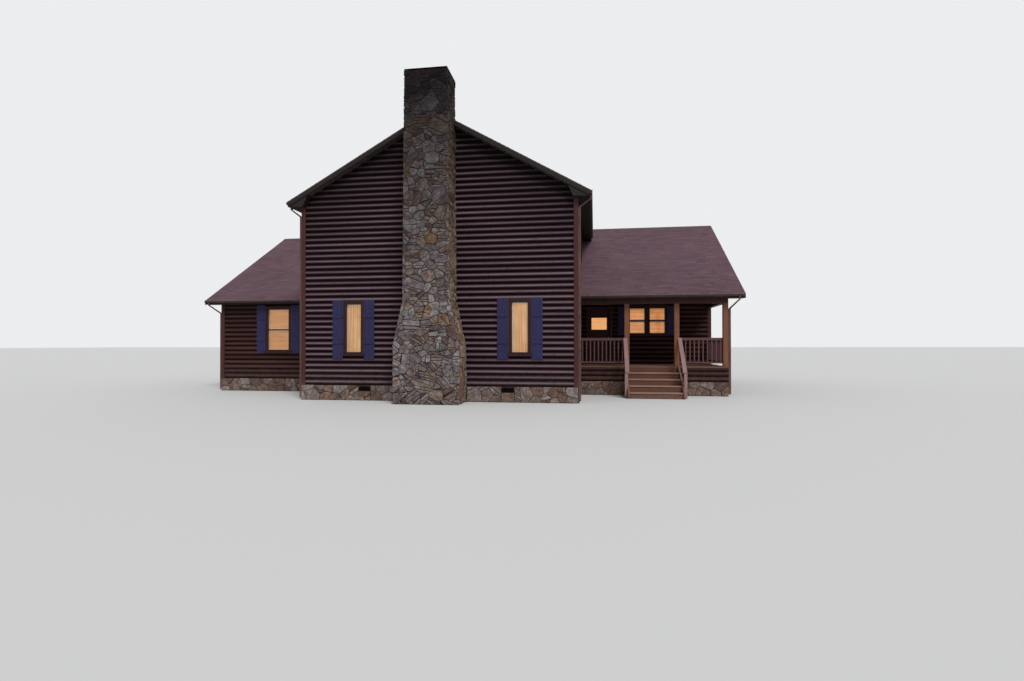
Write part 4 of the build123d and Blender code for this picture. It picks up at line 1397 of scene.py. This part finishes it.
flashLook = {
    "proud": 0.004,
    "sunk": 0.03,
    "up": 0.085,
    "dripDown": 0.028,
    "dripUp": 0.004,
    "dripWide": 0.0275,
    "dripStarts": (0.62, 0.002),  # distances from the ridge, clear of the chimney in front
}
wingUpTo = ridgeY - (house["wingRidge"] - house["mainSoffit"]) / house["wingSlope"]
lowZ = wingTop(ridgeY - eaveY)
stripLow = (halfMain - flashLook["sunk"], eaveY, lowZ)
stripHigh = (halfMain + flashLook["proud"], wingUpTo, lowZ + flashLook["up"])
strips = onAllWings(slopingStrip(stripLow, stripHigh, house["wingSlope"], 1))
for y, start in zip((roofFront - flashLook["dripWide"], roofRear), flashLook["dripStarts"]):
    dripLow = (start, y, mainTop(start) - flashLook["dripDown"])
    dripHigh = (mainEdge, y + flashLook["dripWide"], mainTop(start) + flashLook["dripUp"])
    drip = slopingStrip(dripLow, dripHigh, -house["mainSlope"], 0)
    strips += [drip, copied(drip, mirrorX)]
joinParts("roof_flashing", strips, flashingMetal)
print("flashing and drip edges")

# Windows: the place is the middle of the window on the log crests, the turn counts from the front
windowSizes = {
    "gable": {"glass": (0.45, 1.4), "sill": 1.39, "panes": 1, "sashes": 1, "shutter": (1.2, 2.9)},
    "wing": {"glass": (0.78, 1.42), "sill": 1.43, "panes": 1, "sashes": 2, "shutter": (1.32, 3.0)},
    "porch": {"glass": (0.5449, 0.92), "sill": 2.01, "panes": 2, "sashes": 2, "shutter": (1.95, 2.99)},
}
gableX, wingX = 2.44, 6.4342
windowPlaces = [
    ("gable", (-gableX, frontY), 0),
    ("gable", (gableX, frontY), 0),
    ("gable", (-gableX, rearY), 180),
    ("gable", (gableX, rearY), 180),
    ("wing", (-wingX, wingY), 0),
    ("wing", (-wingX, rearY), 180),
    ("wing", (wingX, rearY), 180),
    ("wing", (-halfHouse, -0.7725), -90),
    ("wing", (-halfHouse, 4.0275), -90),
    ("wing", (halfHouse, 2.9275), 90),
    ("porch", (6.3849, house["porchBack"]), 0),
]
windowLook = {
    "frame": 0.1,
    "frameProud": 0.015,
    "casing": 0.052,
    "casingProud": 0.01,
    "casingBevel": 0.003,
    "bead": 0.02,
    "beadDepth": 0.014,
    "beadBevel": 0.001,
    "glassFront": 0.06,
    "mullion": 0.165,
    "rail": 0.04,
    "sill": 0.06,
    "slatPitch": 0.05,
    "slatFront": 0.069,
    "slatBack": 0.086,
    "slatTilt": 38,
    "slatThick": 0.0025,
    "slatGap": 0.006,
    "slatRise": 0.012,
    "slatRoom": 0.02,
    "vanes": 6,
    "vaneShare": 0.56,
    "vaneTurn": 14,
    "vaneHalf": 0.0008,
    "leaf": 0.31,
    "screw": 0.007,
    "screwY": -0.042,
    "screwAcross": 0.1,
    "screwShare": 0.28,
}


def ringPiece(low, high, width, bevel):
    ring = addBlock(low, high)
    editFaces(ring, lambda normal: abs(normal.y) > 0.5)
    bpy.ops.mesh.inset(thickness=width)
    bpy.ops.mesh.bridge_edge_loops()
    bpy.ops.mesh.select_all(action="SELECT")
    bpy.ops.mesh.normals_make_consistent(inside=False)
    bpy.ops.mesh.bevel(offset=bevel, segments=1, affect="EDGES")
    leaveEdit()
    return ring


def slatStack(xLow, xHigh, zLow, zHigh):
    look = windowLook
    front, start = look["slatFront"], zLow + look["slatRise"]
    slat = addBlock((xLow, front, start), (xHigh, look["slatBack"], start + look["slatThick"]))
    tilt = moved(y=front, z=start) @ rotated(look["slatTilt"], "X") @ moved(y=-front, z=-start)
    slat.data.transform(tilt)
    count = int((zHigh - zLow - look["slatRoom"]) / look["slatPitch"])
    return repeated(slat, (0, 0, look["slatPitch"]), count)


# Upright vanes, each turned a little, hang behind the tall narrow windows
def vaneRow(xLow, xHigh, zLow, zHigh):
    gap, thick = windowLook["slatGap"], windowLook["vaneHalf"]
    pitch = (xHigh - xLow) / windowLook["vanes"]
    middle = (windowLook["slatFront"] + windowLook["slatBack"]) / 2
    half = pitch * windowLook["vaneShare"]
    vane = addBlock((-half, -thick, zLow + gap), (half, thick, zHigh - gap))
    vane.data.transform(moved(xLow + pitch / 2, middle) @ rotated(windowLook["vaneTurn"], "Z"))
    return repeated(vane, (pitch, 0, 0), windowLook["vanes"])


def screwHead(x, z):
    pick()
    look = {"segments": 8, "ring_count": 4, "radius": windowLook["screw"]}
    bpy.ops.mesh.primitive_uv_sphere_add(location=(x, windowLook["screwY"], z), **look)
    bpy.ops.object.transform_apply(location=True, rotation=True, scale=True)
    return bpy.context.object


# What the solids of one kind of window lack, as pairs of a label and a part
def windowKind(kind, size):
    look = windowLook
    glassWidth, glassHeight = size["glass"]
    sill, panes, sashes = size["sill"], size["panes"], size["sashes"]
    half = (panes * glassWidth + (panes - 1) * look["mullion"]) / 2 + look["frame"]
    low, high = sill - look["frame"] + look["sill"], sill + glassHeight + look["frame"]
    front, gap = -look["frameProud"], look["slatGap"]
    casingLow, casingHigh = (-half, front - look["casingProud"], low), (half, front, high)
    parts = [("casings", ringPiece(casingLow, casingHigh, look["casing"], look["casingBevel"]))]
    sashHeight = (glassHeight - look["rail"] * (sashes - 1)) / sashes
    blind, hang = {
        "gable": ("vanes", vaneRow),
        "wing": ("slats", slatStack),
        "porch": ("porch slats", slatStack),
    }[kind]
    for pane in range(panes):
        left = -half + look["frame"] + pane * (glassWidth + look["mullion"])
        right = left + glassWidth
        for sash in range(sashes):
            zLow = sill + sash * (sashHeight + look["rail"])
            zHigh = zLow + sashHeight
            if kind != "wing" or sash == 0:  # a plain shade covers the wing windows' upper half
                parts.append((blind, hang(left + gap, right - gap, zLow, zHigh)))
            beadLow = (left, look["glassFront"] - look["beadDepth"], zLow)
            beadHigh = (right, look["glassFront"], zHigh)
            bead = ringPiece(beadLow, beadHigh, look["bead"], look["beadBevel"])
            parts.append(("beads", bead))
    shutterLow, shutterHigh = size["shutter"]
    inset = look["screwShare"] * (shutterHigh - shutterLow)
    for side in (-1, 1):
        middle = side * (half + look["leaf"] / 2)
        for z in (shutterLow + inset, shutterHigh - inset):
            for across in (-look["screwAcross"], look["screwAcross"]):
                parts.append(("screws", screwHead(middle + across, z)))
    return parts


windowParts = {kind: windowKind(kind, size) for kind, size in windowSizes.items()}
gathered = {label: [] for label in ("casings", "beads", "slats", "vanes", "porch slats", "screws")}
for kind, (x, y), turn in windowPlaces:
    for label, part in windowParts[kind]:
        gathered[label].append(copied(part, moved(x, y) @ rotated(turn, "Z")))
for parts in windowParts.values():
    for label, part in parts:
        bpy.data.objects.remove(part)
# Slats of the porch window and the door, painted with the stronger glow
glowingPorchSlat = blindMaterial("blind slats in the porch", porchSlatLook)
joinParts("window_casings", gathered["casings"], frameUp)
joinParts("sash_beads", gathered["beads"], sashPaint)
joinParts("blind_slats", gathered["slats"], blindMaterial("blind slats", slatLook))
joinParts("blind_vanes", gathered["vanes"], blindMaterial("upright vanes", vaneLook))
joinParts("porch_blind_slats", gathered["porch slats"], glowingPorchSlat)
joinParts("shutter_screws", gathered["screws"], ventMetal)
print("window casings, blind slats and shutter screws")

boardLook = {
    "gap": 0.005,
    "deck": 18,
    "deckBevel": 0.003,
    "ceiling": 20,
    "ceilingBevel": 0.002,
    "treadBevel": 0.004,
}


# Boards side by side between two corners, made from one board
def boardRow(low, high, count, bevel):
    pitch = (high[1] - low[1] + boardLook["gap"]) / count
    board = addBlock(low, (high[0], low[1] + pitch - boardLook["gap"], high[2]), bevel)
    return repeated(board, (0, pitch, 0), count)


deckLow, deckHigh = (tuple(corner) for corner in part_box("porch_deck"))
deckRow = boardRow(deckLow, deckHigh, boardLook["deck"], boardLook["deckBevel"])
deck = joinParts("deck_boards", [deckRow], deckWood)
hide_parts("porch_deck")
ceilingLow, ceilingHigh = (tuple(corner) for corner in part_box("porch_ceiling"))
ceilingRow = boardRow(ceilingLow, ceilingHigh, boardLook["ceiling"], boardLook["ceilingBevel"])
ceiling = joinParts("ceiling_boards", [ceilingRow], innerWood)
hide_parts("porch_ceiling")
treadLow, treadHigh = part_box("step_treads")
steps = {"rise": 0.184, "run": 0.28, "thickness": 0.04, "depth": 0.305, "count": 4, "boards": 2}
treadBoards = []
for step in range(steps["count"]):
    front, top = treadLow[1] + step * steps["run"], (step + 1) * steps["rise"]
    stepLow = (treadLow[0], front, top - steps["thickness"])
    stepHigh = (treadHigh[0], front + steps["depth"], top)
    treadBoards.append(boardRow(stepLow, stepHigh, steps["boards"], boardLook["treadBevel"]))
treads = joinParts("tread_boards", treadBoards, treadWood)
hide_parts("step_treads")
print("deck, ceiling and tread boards")

# Mouldings round the door's light and panel and the blind behind the light, on the moving leaf
doorLook = {
    "left": 4.385,
    "right": 4.945,
    "face": -0.4375,
    "inner": -0.3925,
    "proud": 0.007,
    "width": 0.024,
    "bevel": 0.002,
    "lap": 0.02,
    "panel": (1.147, 1.967),
    "slats": 17,
    "slatHalf": 0.014,
    "slatThick": 0.0005,
    "slatTilt": -12,
    "slatEnd": 0.016,
    "slatBehind": 0.008,
    "slatGap": 0.004,
}
left, right, lap = doorLook["left"], doorLook["right"], doorLook["lap"]
lightLow, lightHigh = (corner[2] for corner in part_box("door_glass"))
doorRings = []
for zLow, zHigh in ((lightLow, lightHigh), doorLook["panel"]):
    for y in (doorLook["face"] - doorLook["proud"], doorLook["inner"]):
        ringLow = (left - lap, y, zLow - lap)
        ringHigh = (right + lap, y + doorLook["proud"], zHigh + lap)
        doorRings.append(ringPiece(ringLow, ringHigh, doorLook["width"], doorLook["bevel"]))
joinParts("door_mouldings", doorRings, trimUp, "front_door")
gap, thick, tall = doorLook["slatGap"], doorLook["slatThick"], doorLook["slatHalf"]
doorSlat = addBlock((left + gap, -thick, -tall), (right - gap, thick, tall))
slatPlace = moved(y=doorLook["inner"] - doorLook["slatBehind"], z=lightLow + doorLook["slatEnd"])
doorSlat.data.transform(slatPlace @ rotated(doorLook["slatTilt"], "X"))
slatStep = (lightHigh - lightLow - 2 * doorLook["slatEnd"]) / (doorLook["slats"] - 1)
doorSlats = repeated(doorSlat, (0, 0, slatStep), doorLook["slats"])
joinParts("door_blind", [doorSlats], glowingPorchSlat, "front_door")
print("door mouldings and the blind behind the door's light")

# Straps and rolled lips of the gutters, the lips painted pale as a highlight, and bands of the downspouts
gutterParts = {
    "width": 0.05,
    "strap": 0.022,
    "strapThick": 0.003,
    "spacing": 0.9,
    "start": 0.4,
    "endGap": 0.1,
    "rim": 0.009,  # the gutter's rim lies this much under the roof's edge
    "ridgeClear": 1.2,
    "lip": 0.008,
    "lipOut": 0.07,
    "lipDown": 0.012,
    "lipUp": 0.003,
    "lipBevel": 0.003,
    "wallGap": 0.01,
    "ridgeGap": 1.089,
}
board, width, strap = house["board"], gutterParts["width"], gutterParts["strap"]
wingRim = wingTop(ridgeY - eaveY + board) - gutterParts["rim"]
mainRim = mainTop(mainEdge) - gutterParts["rim"]
straps, lips, bands = [], [], []
position = halfMain + gutterParts["start"]
while position < wingEdge - gutterParts["endGap"]:
    strapLow = (position, eaveY - board - width, wingRim - gutterParts["strapThick"])
    straps += onAllWings(addBlock(strapLow, (position + strap, eaveY - board, wingRim)))
    position += gutterParts["spacing"]
position = roofFront + gutterParts["start"]
while position < roofRear - gutterParts["endGap"]:
    if abs(position - ridgeY) > gutterParts["ridgeClear"]:
        strapLow = (mainEdge, position, mainRim - gutterParts["strapThick"])
        part = addBlock(strapLow, (mainEdge + width, position + strap, mainRim))
        straps += [part, copied(part, mirrorX)]
    position += gutterParts["spacing"]
joinParts("gutter_straps", straps, flashingMetal)
lip, down, up = gutterParts["lip"], gutterParts["lipDown"], gutterParts["lipUp"]
bevel, ridgeGap = gutterParts["lipBevel"], gutterParts["ridgeGap"]
lipX, lipY = mainEdge + gutterParts["lipOut"], eaveY - board - gutterParts["lipOut"]
lipLow = (halfMain + gutterParts["wallGap"], lipY, wingRim - down)
lips += onAllWings(addBlock(lipLow, (wingEdge, lipY + lip, wingRim + up), bevel))
for start, end in ((roofFront, ridgeY - ridgeGap), (ridgeY + ridgeGap, roofRear)):
    part = addBlock((lipX - lip, start, mainRim - down), (lipX, end, mainRim + up), bevel)
    lips += [part, copied(part, mirrorX)]
joinParts("gutter_lips", lips, lipHighlightMetal)
spouts = {
    "main": (4.06, frontY + 0.02, (0.55, 2.3, 4.4)),
    "wing": (8.61, wingY + 0.02, (0.55, 2.1)),
    "size": (0.07, 0.05),
    "proud": 0.002,
    "height": 0.03,
}
proud, (spoutWide, spoutDeep) = spouts["proud"], spouts["size"]
for kind in ("main", "wing"):
    x, y, heights = spouts[kind]
    for z in heights:
        bandHigh = (x + spoutWide + proud, y + spoutDeep + proud, z + spouts["height"])
        band = addBlock((x - proud, y - proud, z), bandHigh, 0.001)
        bands += onAllWings(band) if kind == "wing" else [band, copied(band, mirrorX)]
joinParts("downspout_bands", bands, spoutPaint)
print("gutter straps and downspout bands")

# Studio: pale floor, even pale light, camera at the photo's place
studio = {
    "floorSize": 600,
    "floorColour": (0.7, 0.7, 0.69),
    "sky": (0.8, 0.81, 0.83),
    "backdrop": (0.84, 0.85, 0.86),
    "skyStrength": 0.6,
    "lampStrength": 1.8,
    "lampAngle": 20,
    "lampTurn": (44, 0, 30),
}
bpy.ops.mesh.primitive_plane_add(size=studio["floorSize"], location=(0, 0, -0.002))
floor = bpy.context.object
floor.name = "studio_floor"
floorMaterial = startMaterial("pale floor")[0]
floor.data.materials.append(finishSurface(floorMaterial, studio["floorColour"], 0.9))
world = bpy.data.worlds.new("studio")
world.use_nodes = True
worldTree = world.node_tree
sky = worldTree.nodes["Background"]
plug(sky.inputs["Color"], studio["sky"])
plug(sky.inputs["Strength"], studio["skyStrength"])
backdrop = addNode(worldTree, "Background", Color=studio["backdrop"])
paths = addNode(worldTree, "LightPath").socket.node.outputs
rays = [Wire(worldTree, paths[f"Is {kind} Ray"]) for kind in ("Camera", "Transmission", "Glossy")]
seen = combine("MAXIMUM", combine("MAXIMUM", rays[0], rays[1]), rays[2])
either = addNode(worldTree, "MixShader", Fac=seen)
worldTree.links.new(sky.outputs[0], either.socket.node.inputs[1])
worldTree.links.new(backdrop.socket, either.socket.node.inputs[2])
plug(worldTree.nodes["World Output"].inputs["Surface"], either)
bpy.context.scene.world = world


def addObject(name, data, degrees, location=(0, 0, 0)):
    piece = bpy.data.objects.new(name, data)
    piece.location = location
    piece.rotation_euler = [math.radians(angle) for angle in degrees]
    bpy.context.collection.objects.link(piece)
    return piece


lampData = bpy.data.lights.new("soft lamp", "SUN")
lampData.energy = studio["lampStrength"]
lampData.angle = math.radians(studio["lampAngle"])
addObject("soft lamp", lampData, studio["lampTurn"])
camera = {"place": (4.492, -21.1995, 1.616), "turn": (90.41, 0.06, 8.43), "lens": 19.55, "sensor": 36}
cameraData = bpy.data.cameras.new("photo camera")
cameraData.lens = camera["lens"]
cameraData.sensor_width = camera["sensor"]
cameraData.clip_end = 1000
bpy.context.scene.camera = addObject("photo camera", cameraData, camera["turn"], camera["place"])
bpy.context.scene.view_settings.view_transform = "Standard"
print("studio ready")
